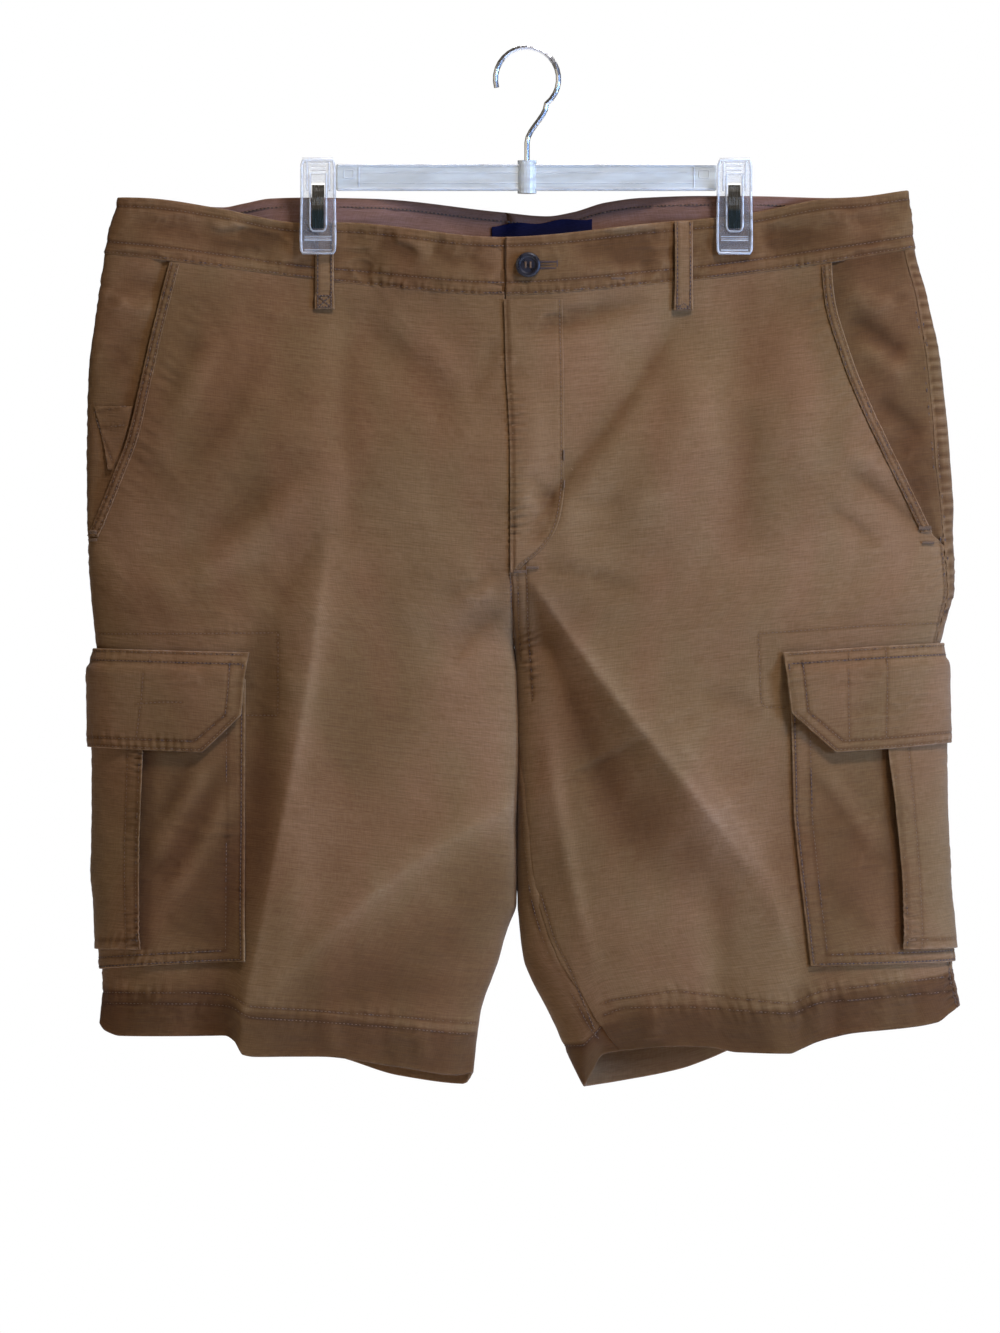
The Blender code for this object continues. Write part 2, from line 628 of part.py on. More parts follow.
def make_binding(side):
    """The raised piped edge on the front panel along the slant pocket."""
    levels = panel_levels()
    levels = levels[levels < slant_end(side) - 0.001]
    levels = np.append(levels, slant_end(side) - 0.04)
    opening = slant_turn(side, levels)
    x, drop = seen_at(side, opening, levels)
    inwards = BINDING_WIDTH if side == "right" else -BINDING_WIDTH
    inner_turn, _ = turn_and_level(side, x + inwards, drop)
    inner_turn = np.minimum(inner_turn, opening - 0.012)
    turn = np.stack([inner_turn, (inner_turn + opening) / 2, opening], axis=1)
    level = np.broadcast_to(levels[:, None], turn.shape)
    lift = np.full(turn.shape, BINDING_LIFT)
    cloth_piece(f"pocket_binding_{side}", side, turn, level, lift, lift + BINDING_CLOTH,
                edges=("top", "end"))


def make_coin_pocket():
    side = "right"
    drop, x_out, x_in = np.array(COIN_POCKET).T
    x = np.stack([x_out, (x_out + x_in) / 2, x_in], axis=1)
    turn, level = turn_and_level(side, x, drop[:, None])
    low = np.broadcast_to(COIN_LIFT, turn.shape)
    cloth_piece("coin_pocket", side, turn, level, low, low + COIN_CLOTH)


# ================================================================ cargo pockets
def wrapped_patch(side, shape, columns, rows, top, bottom):
    """Turns and levels of a patch over the side: from its front edge, round the fold, to its back edge."""
    share = np.linspace(0, 1, columns + 1)[None, :]
    down = np.linspace(0, 1, rows + 1)[:, None]
    drop = blend(top(share), bottom(share), down)
    at_front, at_back = drop[:, :1], drop[:, -1:]
    front_turn, _ = turn_and_level(side, straight(shape["front"], at_front), at_front)
    back_turn, _ = turn_and_level(side, straight(shape["back"], at_back), at_back, back=True)
    turn = blend(front_turn, back_turn, share)
    return turn, level_of(side, turn, drop), down


def make_cargo_pocket(side):
    shape = POCKET[side]
    turn, level, _ = wrapped_patch(
        side, shape, PATCH_COLUMNS, POCKET_ROWS, lambda share: np.full(share.shape, float(shape["top"])),
        lambda share: smooth(shape["bottom"], share))
    lift = np.full(turn.shape, POCKET_LIFT)
    cloth_piece(f"cargo_pocket_{side}", side, turn, level, lift, lift + POCKET_CLOTH)


def make_cargo_pleat(side):
    """The stitched pleat down the middle of the pocket."""
    front_edge, back_turn = PLEAT[side]
    drop = np.linspace(PLEAT_TOP_DROP, PLEAT_BOTTOM_DROP[side], 9)[:, None]
    front_turn, _ = turn_and_level(side, smooth(front_edge, drop), drop)
    turn = blend(front_turn, back_turn, np.linspace(0, 1, 6)[None, :])
    level = level_of(side, turn, drop)
    lift = POCKET_LIFT + POCKET_CLOTH + PLEAT_LIFT
    cloth_piece(f"cargo_pleat_{side}", side, turn, level, lift, lift + PLEAT_CLOTH)


def make_cargo_flap(side):
    shape = FLAP[side]
    turn, level, down = wrapped_patch(
        side, shape, PATCH_COLUMNS, FLAP_ROWS, lambda share: smooth(shape["top"], share),
        lambda share: smooth(shape["bottom"], share))
    lift = np.broadcast_to(blend(FLAP_LIFT_TOP, FLAP_LIFT_LOW, ease(down / FLAP_RISE)), turn.shape)
    cloth_piece(f"cargo_flap_{side}", side, turn, level, lift, lift + FLAP_CLOTH)


# ================================================================ waist
def make_waistband():
    """One strip, from its free end at the centre front round the back to the underlap."""
    shares = 2 * (np.linspace(0, 1, BAND_COLUMNS + 1))
    centre = float(smooth(CENTRE_SEAM, 150))
    under_turn, _ = turn_and_level("left", centre + UNDERLAP, 150)
    ramp_turn, _ = turn_and_level("right", centre - UNDERLAP_RAMP, 150)
    stations = [("left", turn, 0.0) for turn in shares]
    stations += [("right", turn, 0.0) for turn in shares[::-1][1:-2] if turn > ramp_turn + 0.02]
    stations += [("right", float(ramp_turn), 0.0), ("right", 0.0, -UNDERLAP_SUNK)]
    stations += [("left", turn, -UNDERLAP_SUNK) for turn in shares[1:] if turn < under_turn]
    stations += [("left", float(under_turn), -UNDERLAP_SUNK)]
    levels = np.linspace(-1, 0, 3)
    outer, inner = [], []
    for side, turn, sunk in stations:
        turns = np.full(levels.shape, turn)
        outer.append(lifted(side, turns, levels, BAND_PROUD + sunk))
        inner.append(lifted(side, turns, levels, BAND_PROUD + sunk - BAND_CLOTH))
    outer = pulled_in(np.stack(outer, axis=1), ("bottom",))
    inner = pulled_in(np.stack(inner, axis=1), ("bottom",))
    wall("waistband", outer, inner, "twill")


def make_belt_loop(name, x, back):
    """A flat strip from just over the top edge to a little below the waist seam, bowed off the band."""
    edge = TOP_EDGE_BACK if back else TOP_EDGE_FRONT
    seam = WAIST_SEAM_BACK if back else WAIST_SEAM_FRONT
    down = np.linspace(0, 1, 8)[:, None]
    across = x + LOOP_WIDTH * np.linspace(-0.5, 0.5, 3)[None, :]
    drop = blend(float(smooth(edge, x)) + 0.6, float(smooth(seam, x)) + LOOP_BELOW_SEAM, down)
    across, drop = np.broadcast_arrays(across, drop)
    bow = 0.0 if name == CLIPPED_LOOP else LOOP_BOW
    lift = BAND_PROUD + LOOP_LIFT + bow * np.sin(np.pi * down) + 0 * across
    outer = placed(across, drop, back, lift + LOOP_CLOTH)
    inner = placed(across, drop, back, lift)
    wall(name, outer, inner, "twill")


def make_label():
    x, drop = np.meshgrid(np.linspace(*LABEL_X, 9), np.linspace(*LABEL_DROP, 4))
    wave = 0.5 * np.sin(x * 0.16) * (drop == LABEL_DROP[0])
    lift = BAND_PROUD - BAND_CLOTH - LAY_GAP
    outer = placed(x, drop + wave, True, lift)
    inner = placed(x, drop + wave, True, lift - LABEL_CLOTH)
    wall("waist_label", outer, inner, "label")


def make_fly_placket():
    """The overlap of the fly: straight down the centre seam, with a J-shaped stitched edge."""
    drops = np.linspace(FLY_EDGE[0][0], FLY_EDGE[-1][0], 14)
    x_out = smooth(FLY_EDGE, drops)
    x_in = smooth(CENTRE_SEAM, drops) + SEAM_GAP
    x_out = np.maximum(x_out, x_in + 2.0)
    x = blend(x_in[:, None], x_out[:, None], np.linspace(0, 1, 6)[None, :])
    turn, level = turn_and_level("left", x, drops[:, None])
    cloth_piece("fly_placket", "left", turn, level, FLY_LIFT, FLY_LIFT + FLY_CLOTH)


def make_button():
    """A turned disc with a raised rim and four sewing holes."""
    profile = [(out * BUTTON_RADIUS * MM, 0, up * BUTTON_THICK * MM) for out, up in BUTTON_PROFILE]
    data = bpy.data.meshes.new("button")
    data.from_pydata(profile, [(i, i + 1) for i in range(len(profile) - 1)], [])
    button = collect(bpy.data.objects.new("button", data), "button")
    screw = button.modifiers.new("turned", "SCREW")
    screw.steps = 24
    screw.render_steps = 24
    screw.use_merge_vertices = True
    screw.merge_threshold = 0.00001
    screw.use_normal_calculate = True
    cutters = bpy.data.collections["cutters"]
    for index in range(4):
        angle = math.radians(45 + 90 * index)
        along, up = BUTTON_HOLE_OFFSET * MM * math.cos(angle), BUTTON_HOLE_OFFSET * MM * math.sin(angle)
        bpy.ops.mesh.primitive_cylinder_add(
            vertices=8, radius=BUTTON_HOLE_RADIUS * MM, depth=4 * BUTTON_THICK * MM, location=(along, up, 0))
        cutter = bpy.context.object
        cutter.name = f"button_hole_{index}"
        cut = button.modifiers.new(f"hole_{index}", "BOOLEAN")
        cut.operation = "DIFFERENCE"
        cut.object = cutter
        keep_as_cutter(cutter, cutters)
        cutter.parent = button
    out = placed(BUTTON_X, BUTTON_DROP, False, BAND_PROUD + LAY_GAP)
    further = placed(BUTTON_X, BUTTON_DROP, False, BAND_PROUD + LAY_GAP + 5)
    button.location = out
    direction = further - out
    button.rotation_euler = (math.acos(direction[2] / np.linalg.norm(direction)), 0, 0)


def keep_as_cutter(obj, cutters):
    obj.hide_render = True
    obj.display_type = "WIRE"
    for other in list(obj.users_collection):
        other.objects.unlink(obj)
    cutters.objects.link(obj)


# ================================================================ hanger
def box_between(name, low, high):
    bpy.ops.mesh.primitive_cube_add(size=1)
    box = bpy.context.object
    box.name = name
    low, high = np.array(low) * MM, np.array(high) * MM
    box.location = (low + high) / 2
    box.scale = high - low
    bpy.ops.object.transform_apply(location=False, rotation=False, scale=True)
    return box


def make_bar():
    """The straight bar between the clips, with the boss that holds the hook."""
    half = BAR_THICK / 2
    bar = box_between("hanger_bar", (BAR_X[0], BAR_DEPTH - half, -BAR_DROP[1]),
                      (BAR_X[1], BAR_DEPTH + half, -BAR_DROP[0]))
    bevel = bar.modifiers.new("rounded", "BEVEL")
    bevel.width = 1.2 * MM
    bevel.segments = 2
    bpy.ops.mesh.primitive_cylinder_add(
        vertices=20, radius=BOSS_RADIUS * MM, depth=(BOSS_DROP[1] - BOSS_DROP[0]) * MM,
        location=(0, BAR_DEPTH * MM, -(BOSS_DROP[0] + BOSS_DROP[1]) / 2 * MM))
    boss = bpy.context.object
    boss.name = "hanger_boss"
    join = bar.modifiers.new("boss", "BOOLEAN")
    join.operation = "UNION"
    join.object = boss
    keep_as_cutter(boss, bpy.data.collections["cutters"])
    bar.data.shade_smooth()
    bar.data.set_sharp_from_angle(angle=math.radians(35))
    collect(bar, "clear_plastic")


def jaw_face(face_name, side, drop):
    return straight(JAW_FACE, drop) + JAW_CLEAR[(face_name, side)]


def make_jaw(face_name, side):
    """A jaw: flat on the waistband below, flared into a finger tab above, with a window for the spring."""
    sign = -1 if face_name == "front" else 1
    x_low, x_high = JAW_X[side]
    drops, round_in = np.array(JAW_SIDES).T
    across = np.linspace(0, 1, 5)
    low = (x_low + round_in)[:, None]
    high = (x_high - round_in)[:, None]
    x = blend(low, high, across[None, :])
    depth = jaw_face(face_name, side, drops)[:, None] + 0 * x
    drop = drops[:, None] + 0 * x
    inner = np.stack([x, sign * depth, -drop], axis=-1) * MM
    outer = np.stack([x, sign * (depth + JAW_WALL), -drop], axis=-1) * MM
    jaw = wall(f"clip_jaw_{face_name}_{side}", outer, inner, "clear_plastic", 35)
    middle = (x_low + x_high) / 2
    half = JAW_WINDOW_WIDTH / 2
    window = box_between(f"window_{face_name}_{side}",
                         (middle - half, min(sign * 1, sign * 30), -JAW_WINDOW_DROP[1]),
                         (middle + half, max(sign * 1, sign * 30), -JAW_WINDOW_DROP[0]))
    cut = jaw.modifiers.new("window", "BOOLEAN")
    cut.operation = "DIFFERENCE"
    cut.object = window
    keep_as_cutter(window, bpy.data.collections["cutters"])


def make_spring(side):
    """A flat steel U over both jaws: its arms press on them from outside."""
    middle = sum(JAW_X[side]) / 2
    foot_drop = SPRING_ARM[0][0]
    front = jaw_face("front", side, foot_drop) + JAW_WALL + LAY_GAP
    back = jaw_face("back", side, foot_drop) + JAW_WALL + LAY_GAP
    path = [(-(front + off), drop) for drop, off in SPRING_ARM]
    centre, half = (back - front) / 2, (front + back) / 2 + SPRING_ARCH_CLEAR
    arch_low, arch_top = SPRING_ARCH_DROP
    for degrees in range(0, 181, 20):
        angle = math.radians(degrees)
        path.append((centre - half * math.cos(angle), arch_low - (arch_low - arch_top) * math.sin(angle)))
    path += [(back + off, drop) for drop, off in SPRING_ARM[::-1]]
    path = np.array(path)
    along = np.gradient(path, axis=0)
    along /= np.linalg.norm(along, axis=1, keepdims=True)
    away = np.stack([-along[:, 1], along[:, 0]], axis=1)
    outside = path + away * -SPRING_STEEL
    x = middle + SPRING_WIDTH * np.array([-0.5, 0.5])
    inner = np.stack([np.stack([np.full(len(path), v), path[:, 0], -path[:, 1]], axis=1)
                      for v in x], axis=1) * MM
    outer = np.stack([np.stack([np.full(len(path), v), outside[:, 0], -outside[:, 1]], axis=1)
                      for v in x], axis=1) * MM
    wall(f"clip_spring_{side}", outer, inner, "spring_steel", 60)


def make_hook():
    """The wire hook: a round top about the origin and a straight stem down to the bar's boss."""
    radius = HOOK_RADIUS + HOOK_WIRE / 2
    points = []
    for degrees in np.linspace(HOOK_TIP_ANGLE, HOOK_LAST_ANGLE, 22):
        angle = math.radians(degrees)
        points.append((radius * math.cos(angle), -HOOK_RADIUS + radius * math.sin(angle)))
    x_last, z_last = points[-1]
    for f in np.linspace(0, 1, 8)[1:]:
        points.append((x_last * (1 - ease(f)), blend(z_last, -HOOK_STEM_DROP, f)))
    points.append((0, -HOOK_FOOT_DROP))
    curve = bpy.data.curves.new("hanger_hook", "CURVE")
    curve.dimensions = "3D"
    curve.bevel_depth = HOOK_WIRE / 2 * MM
    curve.bevel_resolution = 2
    curve.use_fill_caps = True
    spline = curve.splines.new("POLY")
    spline.points.add(len(points) - 1)
    for point, (x, z) in zip(spline.points, points):
        point.co = (x * MM, BAR_DEPTH * MM, z * MM, 1)
    collect(bpy.data.objects.new("hanger_hook", curve), "spring_steel")


# ================================================================ all of it
def clear_scene():
    for obj in list(bpy.data.objects):
        bpy.data.objects.remove(obj, do_unlink=True)
    for name in (COLLECTION, "cutters"):
        collection = bpy.data.collections.new(name)
        bpy.context.scene.collection.children.link(collection)


def make_shorts():
    for side in SIDES:
        make_front(side)
        make_back(side)
        make_facing(side)
        make_binding(side)
        make_cargo_pocket(side)
        make_cargo_pleat(side)
        make_cargo_flap(side)
    make_coin_pocket()
    make_waistband()
    for name, (x, back) in BELT_LOOPS.items():
        make_belt_loop(name, x, back)
    make_label()
    make_fly_placket()
    make_button()


def make_hanger():
    make_bar()
    for side in SIDES:
        make_jaw("front", side)
        make_jaw("back", side)
        make_spring(side)
    make_hook()


clear_scene()
make_shorts()
make_hanger()
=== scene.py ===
"""The looks of a pair of cargo shorts on a clip hanger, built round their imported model.

Metres, +Z up, the front faces -Y. The origin is the inside of the hook's top, where it hangs.
"right" and "left" are the wearer's, so the right leg is at -X.

The tables are in millimetres: x is from the hanger's middle plane, drop is how far below the origin.
One leg and its half of the body are a tube. A place on it has a turn and a level. turn is 0 on the
front at the centre or inner fold, 1 at the outer fold, and 2 on the back at the centre or inner fold.
level is -1 at the waistband's top edge, 0 at the waist seam, 1 at the crotch and 2 at the hem.
Lines drawn on the garment are in chart units instead: see CHART_UNIT.
"""

import math

import bpy
import numpy as np
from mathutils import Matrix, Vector


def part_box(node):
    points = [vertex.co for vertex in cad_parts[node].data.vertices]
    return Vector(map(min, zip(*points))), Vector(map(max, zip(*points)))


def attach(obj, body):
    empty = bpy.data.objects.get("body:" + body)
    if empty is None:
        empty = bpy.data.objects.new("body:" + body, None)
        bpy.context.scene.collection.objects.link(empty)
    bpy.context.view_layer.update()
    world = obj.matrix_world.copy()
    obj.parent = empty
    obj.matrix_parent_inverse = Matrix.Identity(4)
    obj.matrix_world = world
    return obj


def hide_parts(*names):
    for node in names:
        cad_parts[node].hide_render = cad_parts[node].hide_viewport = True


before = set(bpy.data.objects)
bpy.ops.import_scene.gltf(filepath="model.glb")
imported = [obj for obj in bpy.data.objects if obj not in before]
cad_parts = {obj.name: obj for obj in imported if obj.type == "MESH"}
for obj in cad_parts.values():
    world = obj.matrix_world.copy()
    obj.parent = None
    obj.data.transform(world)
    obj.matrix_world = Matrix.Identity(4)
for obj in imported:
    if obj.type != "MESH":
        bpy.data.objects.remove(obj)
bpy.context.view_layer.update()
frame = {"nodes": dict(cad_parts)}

MM = 0.001
SIDES = ("right", "left")

# ---------------------------------------------------------------- cloth, in millimetres
CLOTH = 1.5
HEM_CLOTH = 2.6
HEM_DEPTH_LEVEL = 0.11
BAND_CLOTH = 2.6
BAND_PROUD = 0.6
SEAM_GAP = 0.3
LAY_GAP = 0.4

# ---------------------------------------------------------------- outline, seen from the front
# drop, x
OUTER_EDGE = {
    "right": [(96, -280), (101, -282), (135, -290), (171, -296), (201, -300), (256, -303.5),
              (315, -304), (375, -300), (414, -297), (481, -295.5), (559, -296), (593, -294),
              (639, -292.5), (671, -295), (690, -296)],
    "left": [(90, 262), (96, 263), (138, 267.5), (170, 276.5), (210, 284), (279, 292),
             (321, 294), (371, 294), (393, 289), (420, 284), (483, 285), (573, 287.5),
             (614, 291), (642, 295), (660, 299), (680, 300)],
}
# drop, x: the centre seam down to the crotch, and each leg's inner fold below it
CENTRE_SEAM = [(90, -15.2), (128, -15.2), (170, -15.2), (193, -14.5), (222, -13.8), (251, -12),
               (283, -11), (349, -11), (402, -9), (414, -8.4)]
INNER_FOLD = {
    "right": [(436, -6.6), (476, -4.4), (560, -5.4), (589, -6.2), (602, -10.8), (614, -15.2), (628, -19.3),
              (642, -24.8), (656, -30), (670, -33), (705, -37)],
    "left": [(436, -7.4), (476, -7.6), (560, -7.6), (591, -7.0), (614, -4.6), (628, -2.2), (642, 4.2),
             (656, 11.5), (670, 18), (683, 23.5), (697, 29.5), (716, 39)],
}
# x, drop
TOP_EDGE_FRONT = [(-282, 101.4), (-260, 102.4), (-210, 109.7), (-156, 119), (-130, 118.8),
                  (-18, 129.4), (101, 118), (133, 115.2), (157, 111.8), (208, 102.6),
                  (226, 101.8), (263, 96.6)]
TOP_EDGE_BACK = [(-282, 101.4), (-260, 102.4), (-210, 108), (-195, 105.4), (-177, 102.2),
                 (-156, 101.6), (-104, 102.4), (-18, 111), (14, 113.8), (32, 111), (54, 104.6),
                 (80, 101.4), (122, 100.4), (157, 100.6), (208, 101.6), (226, 101), (263, 96.6)]
WAIST_SEAM_FRONT = [(-290, 141.4), (-247, 146.3), (-147, 159), (-132, 160.8), (-15.2, 170.2),
                    (101, 161.2), (157, 154.6), (203, 148.3), (265, 138)]
WAIST_SEAM_BACK = [(-290, 141.4), (-247, 144.6), (-195, 146.4), (-147, 143.8), (-104, 144.4),
                   (-15.2, 153.2), (32, 153), (80, 144.4), (122, 142.6), (157, 142.4),
                   (203, 142.2), (265, 138)]
HEM_FRONT = {
    "right": [(-296, 671.4), (-291, 676.9), (-281, 680), (-230, 679.6), (-208, 679.2),
              (-201, 683), (-195, 692), (-186, 693.4), (-143, 693.6), (-88, 701), (-46, 707.2),
              (-36, 705.2)],
    "left": [(39, 716), (46, 704), (53, 692.8), (72, 689.3), (106, 686.6), (126, 687.2),
             (144, 690.6), (180, 691.4), (189, 688), (199, 683.8), (224, 677.6), (255, 674.8),
             (283, 670.7), (292, 664.5), (299, 659.6)],
}
HEM_BACK = {
    "right": [(-296, 671.4), (-226, 679), (-132, 696), (-88, 709), (-43, 714), (-36, 705.2)],
    "left": [(39, 716), (67, 712), (106, 704.5), (126, 697.6), (145, 690), (223, 676.2),
             (299, 659.6)],
}
CROTCH_DROP_INNER = 414
CROTCH_DROP_OUTER = 383
HEM_DROP = {"right": (705.2, 671.4), "left": (716, 659.6)}
HEM_DETAIL_POWER = 6

# ---------------------------------------------------------------- outline, seen from the side
# x, depth of each face from the middle plane at the waist: pressed flat in the two clips
WAIST_DEPTH = [(-290, 10), (-215, 8), (-166, 2.4), (-122, 2.4), (-70, 10), (0, 15), (70, 10),
               (120, 2.4), (166, 2.4), (215, 8), (290, 10)]
# level, depth of the front face, depth of the back face
BODY_DEPTH = [(-1, 12, 12), (0, 14, 18), (0.3, 24, 36), (0.6, 30, 44), (1, 33, 42),
              (1.3, 34, 38), (1.6, 35, 36), (2, 36, 36)]
CLIPPED_LEVELS = 0.5
FOLD_FULLNESS = 0.85
LEGS_PART_LEVEL = 0.7

# ---------------------------------------------------------------- seams
# level, turn
SIDE_SEAM = {"right": [(0, 1.03), (2, 1.03)],
             "left": [(0, 0.895), (0.6, 0.877), (1, 0.925), (2, 0.95)]}
INSEAM = {"right": [(0, 0), (1, 0), (2, -0.06)],
          "left": [(0, 0), (1, 0), (1.3, 0.08), (1.55, 0.13), (1.7, 0.175), (1.8, 0.2), (2, 0.2)]}
# drop, x of the slant pocket's open edge
SLANT_EDGE = {"right": [(130, -242), (148.3, -247), (195, -258.8), (241.5, -269), (265, -274.6),
                        (293, -285), (328, -299)],
              "left": [(130, 210.4), (148.3, 210.4), (167.7, 211.6), (211.8, 223.6),
                       (245, 236.7), (274, 250.5), (335, 280)]}
SLANT_END_DROP = {"right": 345, "left": 342}
FACING_SUNK = 1.8
FACING_UNDER_TURN = 0.02
BINDING_WIDTH = 7.5
BINDING_CLOTH = 1.0
BINDING_LIFT = 0.25

# ---------------------------------------------------------------- large folds
# kind, height, width, then the line as (drop, x) points; a step is high on one side of its line
FOLDS = {
    "front": [
        ("ridge", 3.0, 17, [(211, 90), (255, 70), (300, 42), (345, 20)]),
        ("ridge", -3.0, 15, [(214, 106), (264, 92), (318, 60), (352, 28)]),
        ("ridge", -3.5, 18, [(240, 148), (300, 150), (362, 152)]),
        ("ridge", -2.2, 16, [(190, -128), (240, -130), (292, -131)]),
        ("ridge", 3.0, 18, [(205, -224), (250, -242), (292, -262)]),
        ("ridge", -2.5, 16, [(290, -172), (340, -215), (372, -250)]),
        ("ridge", -3.5, 16, [(368, 4), (405, 26), (450, 58), (492, 88), (525, 112)]),
        ("ridge", 3.0, 18, [(360, -22), (382, -52), (400, -92)]),
        ("step", 4.5, 17, [(430, -147), (492, -162), (572, -177), (622, -189), (700, -202)]),
        ("step", -3.0, 16, [(560, 176), (630, 186), (700, 190)]),
    ],
    "back": [
        ("ridge", 4.0, 20, [(215, -150), (270, -110), (330, -70), (372, -40)]),
        ("ridge", 3.5, 20, [(220, 140), (275, 112), (335, 78), (375, 46)]),
        ("ridge", -3.5, 18, [(380, -60), (410, -120), (430, -180)]),
        ("ridge", -3.5, 18, [(384, 52), (412, 108), (430, 168)]),
        ("ridge", 3.5, 22, [(470, -110), (560, -125), (690, -130)]),
        ("ridge", 3.5, 22, [(470, 130), (560, 150), (690, 165)]),
    ],
}
FOLD_END_FADE = 0.22
FOLD_SIDE_FADE = 0.35

# ---------------------------------------------------------------- pieces laid on the panels
POCKET_CLOTH = 1.4
POCKET_LIFT = 1.2
# front edge as (drop, x), back edge as (drop, x), bottom as (share of the way round, drop)
POCKET = {
    "right": {"front": [(420, -193), (640, -193)], "back": [(420, -204), (640, -208)],
              "top": 434, "bottom": [(0, 627.9), (0.5, 634), (1, 636)]},
    "left": {"front": [(420, 180), (464, 180.8), (527, 182.2), (573, 187), (631, 193.9)],
             "back": [(420, 198), (640, 204)],
             "top": 434, "bottom": [(0, 631.3), (0.5, 629), (1, 632)]},
}
PLEAT_CLOTH = 1.2
PLEAT_LIFT = 1.4
# front edge as (drop, x), then the turn of the back edge
PLEAT = {"right": ([(440, -262), (485, -262.2), (517, -262.9), (553, -264.3), (630, -264)], 1.06),
         "left": ([(440, 244), (483, 246.3), (515, 249.8), (573, 255.3), (630, 257)], 1.12)}
PLEAT_TOP_DROP = 470
PLEAT_BOTTOM_DROP = {"right": 620, "left": 620}
FLAP_CLOTH = 2.0
# front edge, back edge, then bottom: the lower corners are cut off at a slant
FLAP = {
    "right": {"front": [(413, -190), (424, -192), (459, -195), (484, -222)],
              "back": [(413, -196), (459, -198), (484, -226)],
              "top": [(0, 415.4), (0.5, 412.5), (1, 414)], "bottom": [(0, 484.4), (0.5, 481), (1, 484)]},
    "left": {"front": [(413, 174.5), (424, 176.4), (457, 180.1), (484, 210)],
             "back": [(413, 190), (457, 192), (484, 216)],
             "top": [(0, 415.4), (0.25, 410.5), (0.5, 408.5), (1, 412)],
             "bottom": [(0, 484.4), (0.5, 478.2), (1, 482)]},
}
FLAP_LIFT_TOP = 0.9
FLAP_LIFT_LOW = 6.4
FLAP_RISE = 0.26
COIN_CLOTH = 1.0
# drop, then x of its outer edge and of its edge at the slant
COIN_POCKET = [(246, -298.5, -271.5), (262, -294.5, -275.5), (276, -291.2, -280), (290, -288.8, -285.2)]
# how far its face is from the front panel's at its outer edge, its middle and its edge at the slant
COIN_LIFT = (-0.4, -0.55, -0.8)

# drop, x of the fly overlap's outer stitched edge; its inner edge is the centre seam
FLY_EDGE = [(172.5, 24.4), (241.5, 25.5), (300, 25.5), (320, 23.4), (334, 18.6), (346, 9), (355, -2),
            (361, -7.5)]
FLY_CLOTH = 1.0
FLY_LIFT = 0.8

LOOP_WIDTH = 13.0
LOOP_CLOTH = 1.6
LOOP_BOW = 1.2
LOOP_LIFT = 0.6
LOOP_BELOW_SEAM = 19.5
# x, whether it is on the back
BELT_LOOPS = {
    "belt_loop_front_right": (-139.7, False),
    "belt_loop_front_left": (107.6, False),
    "belt_loop_side_right": (-236, True),
    "belt_loop_side_left": (222, True),
    "belt_loop_back": (-15.2, True),
}
CLIPPED_LOOP = "belt_loop_front_right"

LABEL_X = (-24.8, 45.5)
LABEL_DROP = (119, 146)
LABEL_CLOTH = 0.8

UNDERLAP = 38.0
UNDERLAP_SUNK = 3.1
UNDERLAP_RAMP = 16.0

BUTTON_X = 0.7
BUTTON_DROP = 149.0
BUTTON_HOLE_OFFSET = 2.4

# ---------------------------------------------------------------- hanger
BAR_X = (-131.6, 130.6)
BAR_DROP = (78.7, 97.2)
BAR_THICK = 5.0
JAW_X = {"right": (-156.2, -131.9), "left": (130.9, 155.2)}
JAW_WALL = 2.2
# drop, depth of the jaw's inner face from the cloth's middle plane
JAW_FACE = [(75.2, 12.5), (84, 9.6), (92, 6.4), (99, 4.5), (106, 3.6), (141.6, 3.6)]
# drop, how far in each side edge is from its place at the top
JAW_SIDES = [(75.2, 1.6), (80, 0.2), (85, 0), (91, 0), (96, 0), (101, 0), (106, -0.2), (118, -0.4),
             (130, -0.6), (138.5, -0.3), (141.6, 1.2)]
JAW_CLEAR = {("front", "right"): 2.8, ("front", "left"): 0.0, ("back", "right"): 0.0,
             ("back", "left"): 0.0}
SPRING_WIDTH = 8.2

# the steps that the tube's directions are taken over
STEP_TURN = 0.004
STEP_LEVEL = 0.004

# ================================================================ lines drawn on the garment
# chart units: 0.69 mm each, across from the left and down, with the origin's place below
CHART_UNIT = 0.69
CHART_ORIGIN = (527, 50)

